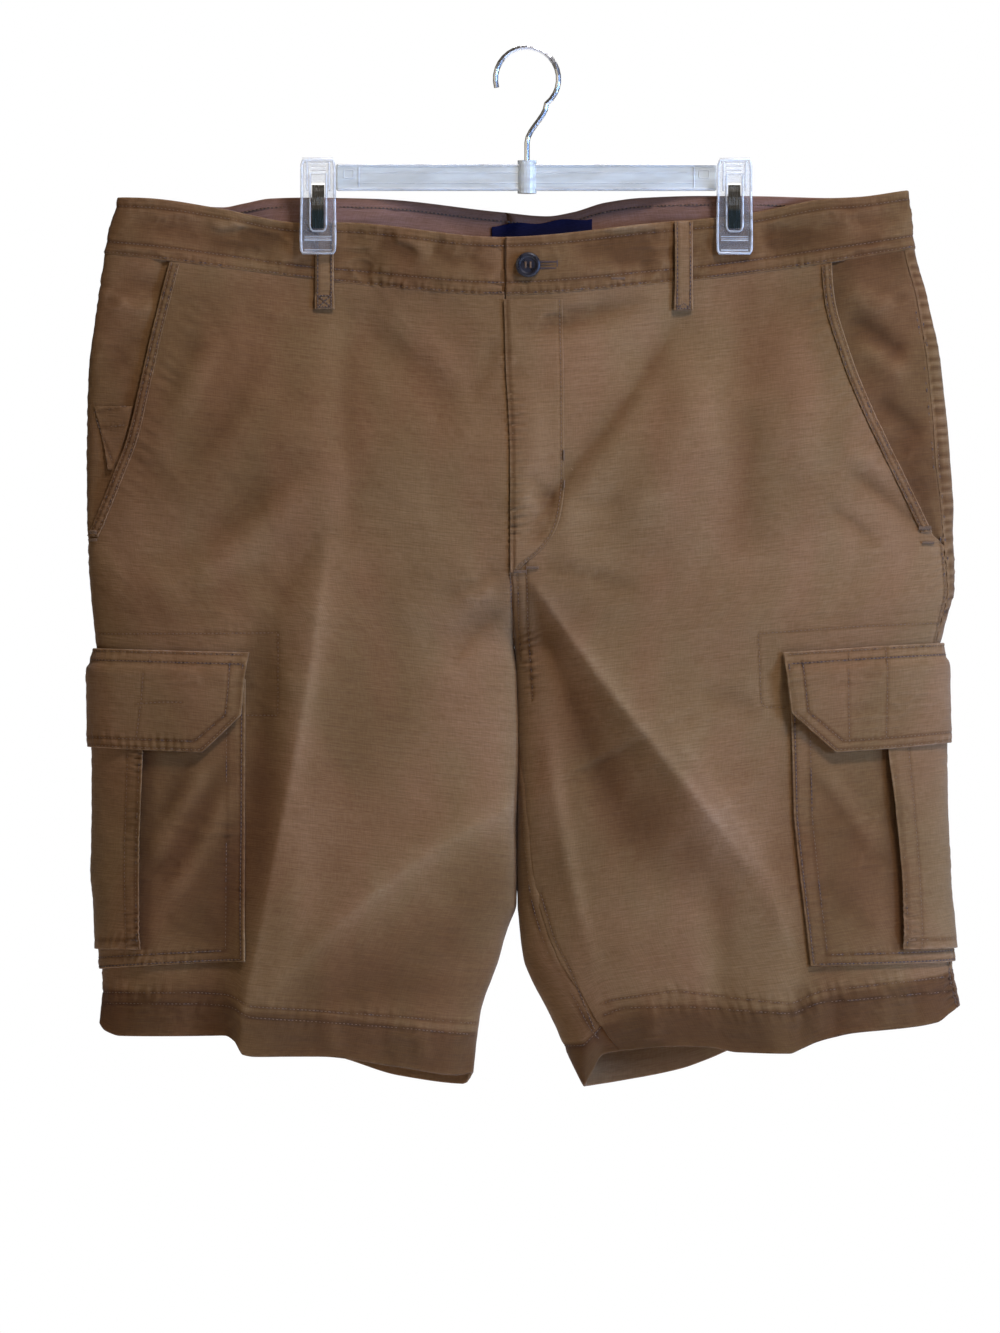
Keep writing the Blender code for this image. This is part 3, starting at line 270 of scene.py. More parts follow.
# kind, height, width on the right or upper side of the line, width on the other side, then the line.
# A soft crease is rounded, a crisp one has a sharp crest, and a step is high on the right or upper side.
# A facet has a sharp crest too, and a flat slope on the other side.
# Several numbers are spread along the line.
CREASES = {
    "front": [
        # the wearer's right leg
        ("facet", (0, 6, 9, 9, 9, 8, 6, 5), 30, (6, 28, 46, 54, 54, 46, 34, 26),
         [(329, 535), (321, 600), (311, 680), (294, 770), (273, 870), (257, 950), (243, 1010), (238, 1056)]),
        ("soft", -2.5, 16, 22, [(276, 600), (262, 690), (244, 800), (226, 900), (212, 990)]),
        ("soft", -0.8, 14, 16, [(96, 610), (170, 600), (235, 588), (290, 572)]),
        ("step", -3.0, 44, 52, [(332, 280), (341, 340), (337, 410), (344, 480), (334, 580)]),
        ("soft", -1.3, 24, 15, [(118, 586), (160, 572), (208, 550), (256, 506), (292, 466), (318, 436)]),
        ("soft", 1.7, 13, 17, [(120, 600), (200, 572), (262, 530), (330, 470)]),
        ("facet", (1, 6, 9, 9, 6), 44, (12, 46, 78, 82, 60),
         [(268, 990), (340, 922), (400, 872), (452, 838), (512, 806)]),
        ("soft", -1.3, 13, 16, [(345, 300), (390, 345), (440, 392), (474, 440)]),
        ("soft", 0.9, 12, 14, [(372, 300), (420, 344), (470, 380)]),
        ("soft", -0.7, 6, 8, [(205, 322), (182, 370), (156, 420)]),
        ("soft", 0.7, 6, 9, [(226, 330), (206, 372), (180, 424)]),
        ("soft", -0.9, 9, 12, [(262, 330), (246, 392), (214, 440), (170, 476)]),
        ("crisp", -1.0, 5, 6, [(112, 276), (134, 290), (166, 286)]),
        ("crisp", 1.3, 6, 7, [(108, 300), (134, 312), (160, 306)]),
        ("soft", -0.7, 6, 8, [(140, 330), (118, 360), (98, 384)]),
        ("crisp", -0.9, 4, 7, [(510, 568), (478, 582), (436, 606)]),
        ("crisp", -1.0, 5, 8, [(508, 606), (478, 632), (446, 670)]),
        ("soft", 0.7, 7, 9, [(506, 590), (476, 608), (436, 640)]),
        ("soft", -0.7, 6, 6, [(500, 330), (486, 372), (466, 410)]),
        ("soft", 0.8, 6, 7, [(330, 1004), (332, 1030), (336, 1056)]),
        ("soft", -0.7, 5, 7, [(378, 1010), (382, 1035), (386, 1062)]),
        ("soft", 0.8, 5, 6, [(420, 1016), (424, 1040), (428, 1066)]),
        # the wearer's left leg
        ("crisp", -4.6, 22, 14, [(694, 296), (672, 332), (640, 382), (602, 434), (570, 472), (540, 512),
                                          (518, 552)]),
        ("soft", 2.3, 30, 24, [(708, 340), (668, 440), (640, 560)]),
        ("soft", -1.2, 14, 18, [(732, 240), (742, 300), (746, 380), (738, 490), (712, 600)]),
        ("soft", 1.2, 16, 14, [(792, 300), (800, 400), (812, 500)]),
        ("soft", -0.8, 7, 8, [(526, 563), (566, 572), (610, 584), (652, 598)]),
        ("facet", (0, 6, 11, 12, 10, 2), (8, 26, 34, 36, 30, 20), (3, 15, 32, 48, 54, 40),
         [(529, 577), (570, 638), (618, 701), (664, 758), (710, 816), (754, 874)]),
        ("crisp", 3.0, 24, 20, [(648, 688), (672, 730), (704, 778), (742, 832), (768, 884), (790, 950),
                                         (801, 1002)]),
        ("soft", -1.2, 10, 11, [(700, 846), (716, 910), (722, 980), (722, 1040)]),
        ("soft", 0.9, 6, 6, [(546, 700), (556, 800), (576, 900), (600, 990)]),
        ("crisp", -1.7, 6, 8, [(800, 976), (799, 1010), (798, 1048)]),
        ("soft", 0.7, 6, 6, [(816, 980), (817, 1010), (818, 1042)]),
        ("crisp", -1.0, 5, 6, [(833, 985), (834, 1008), (835, 1038)]),
        ("crisp", -1.6, 6, 8, [(838, 470), (868, 486), (900, 512), (932, 542)]),
        ("soft", 0.9, 7, 8, [(836, 448), (868, 462), (896, 484)]),
        ("crisp", -1.2, 5, 7, [(820, 505), (850, 520), (880, 552)]),
        ("soft", 1.4, 7, 8, [(838, 286), (866, 300), (898, 312)]),
        ("crisp", -2.4, 6, 9, [(840, 318), (872, 330), (908, 362)]),
        ("soft", 1.6, 7, 8, [(850, 340), (880, 358), (912, 384)]),
        ("crisp", -2.0, 6, 8, [(868, 396), (896, 412), (924, 446)]),
        ("crisp", -1.9, 8, 10, [(510, 336), (548, 330), (600, 316), (656, 298)]),
        ("crisp", -1.2, 5, 7, [(516, 312), (546, 318), (588, 312), (624, 300)]),
        ("crisp", -1.0, 4, 6, [(563, 496), (546, 503), (522, 498)]),
        ("crisp", -1.2, 4, 6, [(562, 501), (546, 516), (526, 524)]),
        ("crisp", -1.1, 4, 6, [(558, 508), (544, 528), (530, 546)]),
        ("crisp", -0.7, 4, 6, [(566, 500), (592, 506), (626, 500)]),
        ("soft", 1.0, 7, 8, [(516, 322), (552, 312), (606, 300)]),
        ("soft", 0.9, 9, 10, [(530, 372), (536, 450), (530, 540)]),
        ("crisp", -1.0, 5, 6, [(524, 470), (540, 488), (556, 512)]),
        ("crisp", 1.0, 5, 6, [(520, 488), (536, 512), (548, 534)]),
        ("soft", -0.8, 8, 9, [(690, 690), (730, 700), (764, 722)]),
        ("soft", 0.8, 5, 6, [(650, 994), (654, 1016), (656, 1046)]),
        ("soft", 0.7, 5, 6, [(880, 986), (884, 1006), (888, 1030)]),
        ("soft", -0.7, 5, 6, [(910, 984), (914, 1002), (918, 1024)]),
        # the waistband
        ("soft", -1.5, 7, 9, [(146, 226), (180, 234), (220, 238), (262, 234), (300, 238)]),
        ("crisp", -2.4, 4, 7, [(232, 230), (252, 236), (270, 238), (294, 231)]),
        ("crisp", -2.2, 4, 7, [(198, 240), (222, 245), (246, 247), (282, 238)]),
        ("crisp", 1.6, 4, 5, [(206, 228), (230, 226), (256, 227)]),
        ("crisp", -1.3, 3, 5, [(128, 222), (150, 228), (178, 230)]),
        ("crisp", -1.1, 5, 7, [(344, 246), (362, 262), (382, 272)]),
        ("crisp", -2.2, 4, 6, [(372, 238), (396, 246), (422, 258)]),
        ("crisp", 1.4, 4, 5, [(386, 236), (412, 242), (438, 252)]),
        ("crisp", -2.0, 4, 6, [(428, 243), (444, 252), (464, 268)]),
        ("crisp", -1.8, 4, 6, [(462, 248), (476, 262), (494, 274)]),
        ("soft", -1.0, 7, 9, [(570, 240), (620, 243), (668, 238)]),
        ("crisp", -2.4, 4, 7, [(590, 238), (626, 240), (660, 234)]),
        ("crisp", 1.6, 4, 5, [(596, 228), (628, 230), (660, 224)]),
        ("crisp", -1.1, 5, 7, [(562, 232), (580, 244), (602, 254)]),
        ("crisp", -1.5, 4, 6, [(606, 262), (636, 256), (664, 256)]),
        ("crisp", -1.6, 4, 6, [(700, 238), (716, 250), (738, 256)]),
        ("soft", -1.2, 7, 9, [(752, 244), (800, 236), (850, 232)]),
        ("crisp", -1.8, 4, 6, [(758, 240), (790, 238), (818, 230)]),
        ("crisp", -1.2, 3, 5, [(846, 222), (872, 224), (898, 216)]),
    ],
    "back": [
        ("crisp", -2.0, 9, 11, [(508, 290), (460, 330), (400, 352), (330, 362)]),
        ("crisp", -2.0, 9, 11, [(520, 300), (570, 345), (620, 360), (700, 366)]),
        ("step", 2.6, 26, 30, [(380, 596), (440, 590), (505, 560)]),
        ("step", 2.6, 26, 30, [(532, 560), (600, 592), (670, 600)]),
        ("crisp", 2.4, 16, 18, [(420, 620), (404, 740), (392, 880), (386, 1000)]),
        ("crisp", 2.4, 16, 18, [(640, 620), (656, 740), (668, 880), (674, 990)]),
        ("soft", -2.6, 12, 14, [(250, 300), (232, 380), (200, 460)]),
        ("soft", -2.6, 12, 14, [(790, 300), (812, 380), (850, 470)]),
        ("soft", 2.4, 14, 16, [(300, 310), (290, 400), (300, 520)]),
        ("soft", 2.4, 14, 16, [(730, 310), (744, 400), (734, 520)]),
        ("crisp", -1.8, 8, 10, [(240, 690), (300, 730), (334, 810)]),
        ("crisp", -1.8, 8, 10, [(800, 690), (750, 740), (722, 820)]),
        ("soft", -1.6, 8, 9, [(300, 900), (306, 960), (300, 1040)]),
        ("soft", -1.6, 8, 9, [(730, 880), (724, 950), (730, 1030)]),
        ("soft", -1.2, 5, 7, [(200, 225), (270, 232), (330, 222)]),
        ("soft", -1.2, 5, 7, [(400, 228), (450, 240), (500, 246)]),
        ("soft", -1.2, 5, 7, [(560, 240), (620, 230), (690, 222)]),
        ("soft", -1.2, 5, 7, [(760, 220), (810, 228), (860, 218)]),
    ],
}
CREASE_END_FADE = 0.3
CRISP_ROUND = 1.0
STEP_RUN = 0.16
FACET_FOOT = 0.08
FOLD_GAIN = 0.4
# the height over the cloth around at which the rubbed wear on crests is at its lightest and the painted shade
# in hollows at its darkest
WEAR_AND_SHADE_HEIGHT = 3.2
RELIEF_GAIN = 1.75
HEM_CURL = 5.5
BAND_FOLD_MOST = 1.2
# how much the puckers are rubbed lighter on their crests and given painted shade in their troughs, how dark
# the painted shade of the side seam's ladder is, and the most that wear and painted light and shade may
# change a place
PUCKER_WEAR_AND_SHADE = 0.22
SEAM_LADDER_SHADE = 0.75
SEAM_LADDER_PITCH = 4.7
SEAM_LADDER_WIDE = 9
SEAM_LADDER_END_DROP = 392
WEAR_SHADE_AND_LIGHT_MOST = 1.6
# how far the fade mark's wear and painted light and shade change the cloth's colour
WEAR_SHADE_AND_LIGHT = 0.32

# groove depth and half width, pucker height, length and reach, stitch length, all in millimetres
STITCH_STYLES = {
    "band": (0.45, 0.8, 0.22, 8.0, 4.0, 2.0),
    "edge": (0.34, 0.8, 0.22, 5.0, 3.4, 2.0),
    "hem": (0.42, 0.9, 0.20, 8.0, 6.0, 2.0),
    "pocket": (0.42, 0.8, 0.32, 5.6, 4.6, 2.0),
    "side": (0.46, 0.9, 0.55, 5.2, 8.0, 2.0),
    "faint": (0.26, 0.8, 0.12, 7.0, 5.0, 2.0),
    "gather": (0.0, 1.0, 0.20, 9.5, 8.0, 0.0),
}

# half width of the painted shade in the ditch of a row, and the rubbed strip along each side of it:
# how far off, half width, amount
DITCH_HALF = 1.1
BESIDE_AWAY, BESIDE_HALF, BESIDE_RUB = 2.2, 0.9, 0.16

# piece, style, line in chart units
FRONT_ROWS = {
    "right": [
        ("hem", [(98, 992), (200, 991), (232, 993), (250, 1004), (320, 1009), (400, 1015), (477, 1023)]),
        ("hem", [(98, 1003), (200, 1002), (232, 1004), (250, 1015), (320, 1020), (400, 1026), (474, 1034)]),
        ("faint", [(90, 634), (180, 634), (279, 633)]),
        ("faint", [(279, 633), (279, 674), (279, 715)]),
        ("faint", [(279, 715), (247, 715)]),
        ("edge", [(511, 480), (511, 556), (512, 632), (515, 650)]),
    ],
    "left": [
        ("hem", [(600, 1003), (613, 998), (676, 989), (730, 996), (791, 1002), (819, 989), (879, 983),
                 (947, 976)]),
        ("hem", [(603, 1014), (623, 1006), (690, 1005), (730, 1008), (793, 1012), (816, 1001), (880, 996),
                 (949, 991)]),
        ("faint", [(784, 707), (760, 707), (757, 634)]),
        ("faint", [(757, 634), (849, 627), (938, 623)]),
        ("edge", [(517, 558), (519, 632), (521, 660)]),
        ("side", [(526, 560), (528, 632), (531, 670), (533, 700)]),
        ("edge", [(540, 893), (554, 939), (570, 969), (594, 1028)]),
    ],
}


# ================================================================ curves through tables
def slopes_through(places, values):
    """The slope at each row that keeps the curve smooth and lets it overshoot no row."""
    rise = np.diff(values) / np.diff(places)
    before, after = rise[:-1], rise[1:]
    same_way = before * after > 0
    both = np.where(same_way, before + after, 1)
    inside = np.where(same_way, 2 * before * after / both, 0)
    return np.concatenate([rise[:1], inside, rise[-1:]])


def smooth(table, at):
    """Reads a table of (place, value) rows at any places, on one smooth curve through the rows."""
    places, values = np.array(table, float).T
    slopes = slopes_through(places, values)
    at = np.clip(np.asarray(at, float), places[0], places[-1])
    row = np.clip(np.searchsorted(places, at, side="right") - 1, 0, len(places) - 2)
    span = places[row + 1] - places[row]
    f = (at - places[row]) / span
    rise = values[row + 1] - values[row]
    start = slopes[row] * span
    end = slopes[row + 1] * span
    return values[row] + f * (start + f * (3 * rise - 2 * start - end + f * (start + end - 2 * rise)))


def straight(table, at):
    places, values = np.array(table, float).T
    return np.interp(at, places, values)


def ease(f):
    f = np.clip(f, 0, 1)
    return f * f * (3 - 2 * f)


def blend(a, b, f):
    return a + (b - a) * f


def bump_at(away, width=1.0):
    """1 on a line, falling off smoothly over the width to each side."""
    return np.exp(-((away / width) ** 2))


def unit(vectors):
    return vectors / np.maximum(np.linalg.norm(vectors, axis=-1, keepdims=True), 1e-12)


def lengths_along(points):
    return np.append(0, np.cumsum(np.linalg.norm(np.diff(points, axis=0), axis=1)))


def at_lengths(at, lengths, points):
    return np.stack([np.interp(at, lengths, column) for column in points.T], axis=1)


def softened(line, times):
    """A line of points with its corners softened, in place."""
    for _ in range(times):
        line[1:-1] = (line[:-2] + 2 * line[1:-1] + line[2:]) / 4
    return line


def read_grid(grid, row, column):
    """A grid's value between its rows and columns, and in line with its last ones outside them."""
    i = np.clip(np.floor(row).astype(int), 0, grid.shape[0] - 2)
    j = np.clip(np.floor(column).astype(int), 0, grid.shape[1] - 2)
    upper = blend(grid[i, j], grid[i, j + 1], column - j)
    lower = blend(grid[i + 1, j], grid[i + 1, j + 1], column - j)
    return blend(upper, lower, row - i)


# ================================================================ the shape of one half
def inner_edge(side, drop):
    apart = SEAM_GAP / 2 if side == "left" else -SEAM_GAP / 2
    return smooth(CENTRE_SEAM + INNER_FOLD[side], drop) + apart


def share_out(turn):
    """How far a turn is from the inner edge (0) to the outer edge (1), seen from the front."""
    return np.sin(np.pi * turn / 2) ** 2


def is_leg(level):
    """0 where the halves are open to each other, 1 where each is a closed tube."""
    return ease((level - LEGS_PART_LEVEL) / (1 - LEGS_PART_LEVEL)) ** 2


def is_front(turn, level):
    """1 on the front face, 0 on the back, with a quick change at the folds."""
    body = ease(0.5 + 3 * np.cos(np.pi * turn / 2))
    leg = ease(0.5 + 3 * np.sin(np.pi * turn))
    return blend(body, leg, is_leg(level))


def band_edges(x, front):
    """The drops of the waistband's top edge and of the waist seam at x, on the front (1) or the back (0)."""
    top = blend(smooth(TOP_EDGE_BACK, x), smooth(TOP_EDGE_FRONT, x), front)
    return top, blend(smooth(WAIST_SEAM_BACK, x), smooth(WAIST_SEAM_FRONT, x), front)


def edge_drop(side, turn, level, edge_share):
    """The drop of a level at the inner (0) or outer (1) edge of the half."""
    x = (smooth(CENTRE_SEAM, 160), OUTER_EDGE[side][2][1])[edge_share]
    top, seam = band_edges(x, is_front(turn, level))
    crotch = (CROTCH_DROP_INNER, CROTCH_DROP_OUTER)[edge_share]
    return by_level(level, top, seam, crotch, HEM_DROP[side][edge_share])


def by_level(level, top, seam, crotch, hem):
    body = np.where(level < 0, seam + level * (seam - top), blend(seam, crotch, level))
    return np.where(level <= 1, body, blend(crotch, hem, level - 1))


def seen_at(side, turn, level):
    """x and drop, before the folds."""
    share = share_out(turn)
    x_in = inner_edge(side, edge_drop(side, turn, level, 0))
    x_out = smooth(OUTER_EDGE[side], edge_drop(side, turn, level, 1))
    x = blend(x_in, x_out, share)
    front = is_front(turn, level)
    top, seam = band_edges(x, front)
    crotch = blend(CROTCH_DROP_INNER, CROTCH_DROP_OUTER, share)
    hem_in, hem_out = HEM_DROP[side]
    hem = blend(hem_in, hem_out, share)
    drop = by_level(level, top, seam, crotch, hem)
    cut = blend(smooth(HEM_BACK[side], x), smooth(HEM_FRONT[side], x), front) - hem
    return x, drop + cut * np.clip(level - 1, 0, 1.2) ** HEM_DETAIL_POWER


def depth_at(x, turn, level):
    """Signed depth before the folds: the front is negative."""
    round_in = np.cos(np.pi * turn / 2)
    open_centre = np.sqrt(2 - round_in ** 2)
    closed_fold = 2 * np.sin(np.pi * turn / 2)
    full = round_in * blend(open_centre, closed_fold, is_leg(level))
    body_table = np.array(BODY_DEPTH, float)
    front = smooth(body_table[:, :2], level)
    back = smooth(body_table[:, [0, 2]], level)
    body = np.sign(full) * np.abs(full) ** FOLD_FULLNESS * blend(back, front, ease(0.5 + 1.5 * full))
    waist = smooth(WAIST_DEPTH, x) * np.tanh(3.5 * round_in) / math.tanh(3.5)
    return -blend(waist, body, ease(level / CLIPPED_LEVELS))


def face(side, turn, level):
    """Points of the cloth's outer face, in metres."""
    turn, level = np.broadcast_arrays(np.asarray(turn, float), np.asarray(level, float))
    x, drop = seen_at(side, turn, level)
    depth = depth_at(x, turn, level)
    outwards = blend(1, -1, is_front(turn, level))
    depth = depth + outwards * folds(x, drop, turn, level)
    return np.stack([x, depth, -drop], axis=-1) * MM


def outward(side, turn, level):
    """Unit vectors that point out of the cloth."""
    turn, level = np.broadcast_arrays(np.asarray(turn, float), np.asarray(level, float))
    whole = level > LEGS_PART_LEVEL
    before = np.where(whole, turn - STEP_TURN, np.maximum(turn - STEP_TURN, 0))
    after = np.where(whole, turn + STEP_TURN, np.minimum(turn + STEP_TURN, 2))
    around = face(side, after, level) - face(side, before, level)
    down = face(side, turn, level + STEP_LEVEL) - face(side, turn, level - STEP_LEVEL)
    return unit(np.cross(down, around) if side == "left" else np.cross(around, down))


def lifted(side, turn, level, lift):
    """Points off the face by lift millimetres, which may be one number for each point."""
    lift = np.asarray(lift, float)[..., None] if np.ndim(lift) else lift
    return face(side, turn, level) + outward(side, turn, level) * lift * MM


def level_nearer(side, turn, level, drop):
    """A level that is nearer than the given one to what is seen at the drop."""
    step = 0.01
    slope = (seen_at(side, turn, level + step)[1] - seen_at(side, turn, level - step)[1]) / (2 * step)
    return np.clip(level + (drop - seen_at(side, turn, level)[1]) / slope, -1.2, 2.1)


def turn_and_level(side, x, drop, back=False):
    """The place on the tube that is seen at x and drop."""
    x, drop = np.broadcast_arrays(np.asarray(x, float), np.asarray(drop, float))
    turn = np.full(x.shape, 1.5 if back else 0.5)
    level = np.full(x.shape, 1.0)
    for _ in range(14):
        x_in = inner_edge(side, edge_drop(side, turn, level, 0))
        x_out = smooth(OUTER_EDGE[side], edge_drop(side, turn, level, 1))
        share = np.clip((x - x_in) / (x_out - x_in), 0, 1)
        turn = 2 / np.pi * np.arcsin(np.sqrt(share))
        turn = 2 - turn if back else turn
        level = level_nearer(side, turn, level, drop)
    return turn, level


def level_of(side, turn, drop):
    level = np.full(np.broadcast(turn, drop).shape, 1.0)
    for _ in range(10):
        level = level_nearer(side, turn, level, drop)
    return level


def placed(x, drop, back, lift):
    """Points at x and drop on either half, for what lies across the centre seam."""
    x, drop = np.broadcast_arrays(np.asarray(x, float), np.asarray(drop, float))
    centre = smooth(CENTRE_SEAM, drop)
    halves = {}
    for side in SIDES:
        near = np.minimum(x, centre) if side == "right" else np.maximum(x, centre)
        halves[side] = lifted(side, *turn_and_level(side, near, drop, back), lift)
    return np.where((x < centre)[..., None], halves["right"], halves["left"])


def slant_turn(side, level):
    """The turn of the slant pocket's open edge at each level, which meets the side seam at its end."""
    drops = np.linspace(SLANT_EDGE[side][0][0], SLANT_EDGE[side][-1][0], 24)
    turns, levels = turn_and_level(side, smooth(SLANT_EDGE[side], drops), drops)
    end = slant_end(side)
    order = levels < end - 0.02
    levels = np.append(levels[order], end)
    turns = np.append(turns[order], side_turn(side, end))
    return np.interp(level, levels, turns)


def side_turn(side, level):
    return straight(SIDE_SEAM[side], level)


def slant_end(side):
    turn = straight(SIDE_SEAM[side], 0.7)
    return float(level_of(side, turn, SLANT_END_DROP[side]))


def wrapped_patch(side, shape, columns, rows, top, bottom):
    """Turns and levels of a patch over the side: from its front edge, round the fold, to its back edge."""
    share = np.linspace(0, 1, columns + 1)[None, :]
    down = np.linspace(0, 1, rows + 1)[:, None]
    drop = blend(top(share), bottom(share), down)
    at_front, at_back = drop[:, :1], drop[:, -1:]
    front_turn, _ = turn_and_level(side, straight(shape["front"], at_front), at_front)
    back_turn, _ = turn_and_level(side, straight(shape["back"], at_back), at_back, back=True)
    turn = blend(front_turn, back_turn, share)
    return turn, level_of(side, turn, drop), np.broadcast_to(down, turn.shape)


def chart(points):
    """Chart units to (x, drop) in millimetres."""
    return (np.array(points, float) - CHART_ORIGIN) * CHART_UNIT


def evenly(points, step=2.5, soften=0):
    """Points at even steps along a line, softened so many times."""
    points = np.array(points, float)
    reach = np.append(0, np.cumsum(np.hypot(*np.diff(points, axis=0).T)))
    count = max(3, int(round(reach[-1] / step)) + 1)
    at = np.linspace(0, reach[-1], count)
    return softened(at_lengths(at, reach, points), soften)


def nearest(line, a, b, reach):
    """For the places within reach of a line: their index, how far they are from it and how far along it.

    How far is positive on the right of a line drawn downwards, and above one drawn to the right.
    """
    low, high = line.min(axis=0) - reach, line.max(axis=0) + reach
    inside = np.flatnonzero((a > low[0]) & (a < high[0]) & (b > low[1]) & (b < high[1]))
    pa, pb = a[inside], b[inside]
    away = np.full(len(inside), 1e9)
    along = np.zeros(len(inside))
    start = 0.0
    for first, last in zip(line[:-1], line[1:]):
        step = last - first
        length = max(np.hypot(*step), 1e-9)
        f = np.clip(((pa - first[0]) * step[0] + (pb - first[1]) * step[1]) / length ** 2, 0, 1)
        da, db = pa - first[0] - f * step[0], pb - first[1] - f * step[1]
        gap = np.hypot(da, db)
        nearer = gap < np.abs(away)
        away = np.where(nearer, np.where(step[1] * da - step[0] * db >= 0, gap, -gap), away)
        along = np.where(nearer, start + f * length, along)
        start += length
    return inside, away, along, start


LATTICE = np.random.default_rng(11).random((256, 256))


def noise(a, b, seed=0.0):
    """Smooth noise from -1 to 1 that changes over one unit."""
    a, b = np.broadcast_arrays(np.asarray(a, float) + 31.7 * seed, np.asarray(b, float) + 17.3 * seed)
    ia, ib = np.floor(a).astype(int), np.floor(b).astype(int)
    fa, fb = ease(a - ia), ease(b - ib)
    top = blend(LATTICE[ia % 256, ib % 256], LATTICE[(ia + 1) % 256, ib % 256], fa)
    low = blend(LATTICE[ia % 256, (ib + 1) % 256], LATTICE[(ia + 1) % 256, (ib + 1) % 256], fa)
    return 2 * blend(top, low, fb) - 1


# the folds are worked out once, a millimetre apart, as seen from the front
RASTER_X = np.arange(-330.0, 331.0)
RASTER_DROP = np.arange(84.0, 738.0)


def at_share(value, share):
    """One number, or numbers spread evenly along a line."""
    return np.interp(share, np.linspace(0, 1, len(value)), value) if np.ndim(value) else value


def faded_ends(share, fade):
    """1 along the middle of a line, falling to 0 over the fade's share of it at each end."""
    return ease(share / fade) * ease((1 - share) / fade)


def crease_form(kind, away, upper, lower):
    width = np.where(away > 0, upper, lower)
    rounded = np.sqrt(away ** 2 + CRISP_ROUND ** 2) - CRISP_ROUND
    if kind == "crisp":
        return np.exp(-rounded / width) * np.exp(-((away / (2.6 * width)) ** 4))
    if kind == "step":
        return 0.5 * np.tanh(away / (STEP_RUN * width)) * bump_at(away, 1.3 * width)
    if kind == "facet":
        flat = FACET_FOOT * np.logaddexp(0, (1 - rounded / width) / FACET_FOOT)
        return np.where(away > 0, np.exp(-rounded / width), flat)
    return bump_at(away, width)


def fold_raster(face_name):
    x, drop = [part.ravel() for part in np.meshgrid(RASTER_X, RASTER_DROP)]
    total = np.zeros(x.shape)
    for kind, height, width, line in FOLDS[face_name]:
        inside, away, along, length = nearest(np.array(line, float)[:, ::-1], x, drop, 4 * width)
        share = along / length
        if kind == "step":
            form = ease(share / 0.5) * (away / width) * np.exp(0.5 - 0.5 * (away / width) ** 2)
        else:
            form = faded_ends(share, FOLD_END_FADE) * bump_at(away, width)
        total[inside] += FOLD_GAIN * height * form
    for kind, height, upper, lower, line in CREASES[face_name]:
        reach = 3.2 * max(np.max(upper), np.max(lower))
        inside, away, along, length = nearest(evenly(chart(line), 9.0, 3), x, drop, reach)
        share = along / length
        form = crease_form(kind, away, at_share(upper, share), at_share(lower, share))
        if not np.ndim(height):
            form = form * faded_ends(share, CREASE_END_FADE)
        total[inside] += at_share(height, share) * form
    return total.reshape(len(RASTER_DROP), len(RASTER_X))


def blurred(grid, reach):
    """The mean over a square of the raster, three times over."""
    for _ in range(3):
        for axis in (0, 1):
            padded = np.pad(grid, [(reach + 1, reach) if k == axis else (0, 0) for k in (0, 1)], mode="edge")
            sums = np.cumsum(padded, axis=axis)
            high = np.take(sums, range(2 * reach + 1, sums.shape[axis]), axis=axis)
            low = np.take(sums, range(0, sums.shape[axis] - 2 * reach - 1), axis=axis)
            grid = (high - low) / (2 * reach + 1)
    return grid


def shaped(grid):
    """The folds made higher, without the broad swell that they would add to the garment."""
    return blurred(RELIEF_GAIN * (grid - 0.5 * blurred(grid, 30)), 1)


FOLD_RASTER = {name: shaped(fold_raster(name)) for name in ("front", "back")}
# lighter on what stands proud, as rubbed wear, and darker in the hollows, as painted shade
WEAR_AND_SHADE_RASTER = {name: np.clip((grid - blurred(grid, 10)) / WEAR_AND_SHADE_HEIGHT, -1, 1)
               for name, grid in FOLD_RASTER.items()}


def from_raster(rasters, x, drop, turn, level):
    x, drop, on_front = np.broadcast_arrays(np.asarray(x, float), drop, is_front(turn, level))
    column = np.clip(x - RASTER_X[0], 0, len(RASTER_X) - 1.001)
    row = np.clip(drop - RASTER_DROP[0], 0, len(RASTER_DROP) - 1.001)
    return (on_front * read_grid(rasters["front"], row, column)
            + (1 - on_front) * read_grid(rasters["back"], row, column))


def folds(x, drop, turn, level):
    """How far the large folds, the creases and the hem's curl move the face outwards."""
    sideways = ease(np.abs(np.sin(np.pi * np.asarray(turn))) / FOLD_SIDE_FADE)
    curl = HEM_CURL * ease((np.asarray(level) - 2 + HEM_DEPTH_LEVEL) / HEM_DEPTH_LEVEL)
    total = from_raster(FOLD_RASTER, x, drop, turn, level)
    shallow = BAND_FOLD_MOST * np.tanh(total / BAND_FOLD_MOST)
    total = blend(total, shallow, ease(np.asarray(level) / -0.12))
    return (total - curl) * sideways


# ================================================================ places along the cloth
BAND_TALL = 41.0
BODY_LONG = 243.0
LEG_LONG = 290.0
ROUND_LEVELS = np.linspace(-1.1, 2.1, 65)
ROUND_TURNS = np.linspace(-0.4, 2.4, 561)


def way_round(side):
    """The length round the tube from turn 0, for each of ROUND_LEVELS and ROUND_TURNS."""
    points = face(side, ROUND_TURNS[None, :], ROUND_LEVELS[:, None])
    steps = np.linalg.norm(np.diff(points, axis=1), axis=2) / MM
    across = np.concatenate([np.zeros((len(ROUND_LEVELS), 1)), np.cumsum(steps, axis=1)], axis=1)
    return across - across[:, np.abs(ROUND_TURNS).argmin()][:, None]


ROUND = {side: way_round(side) for side in SIDES}


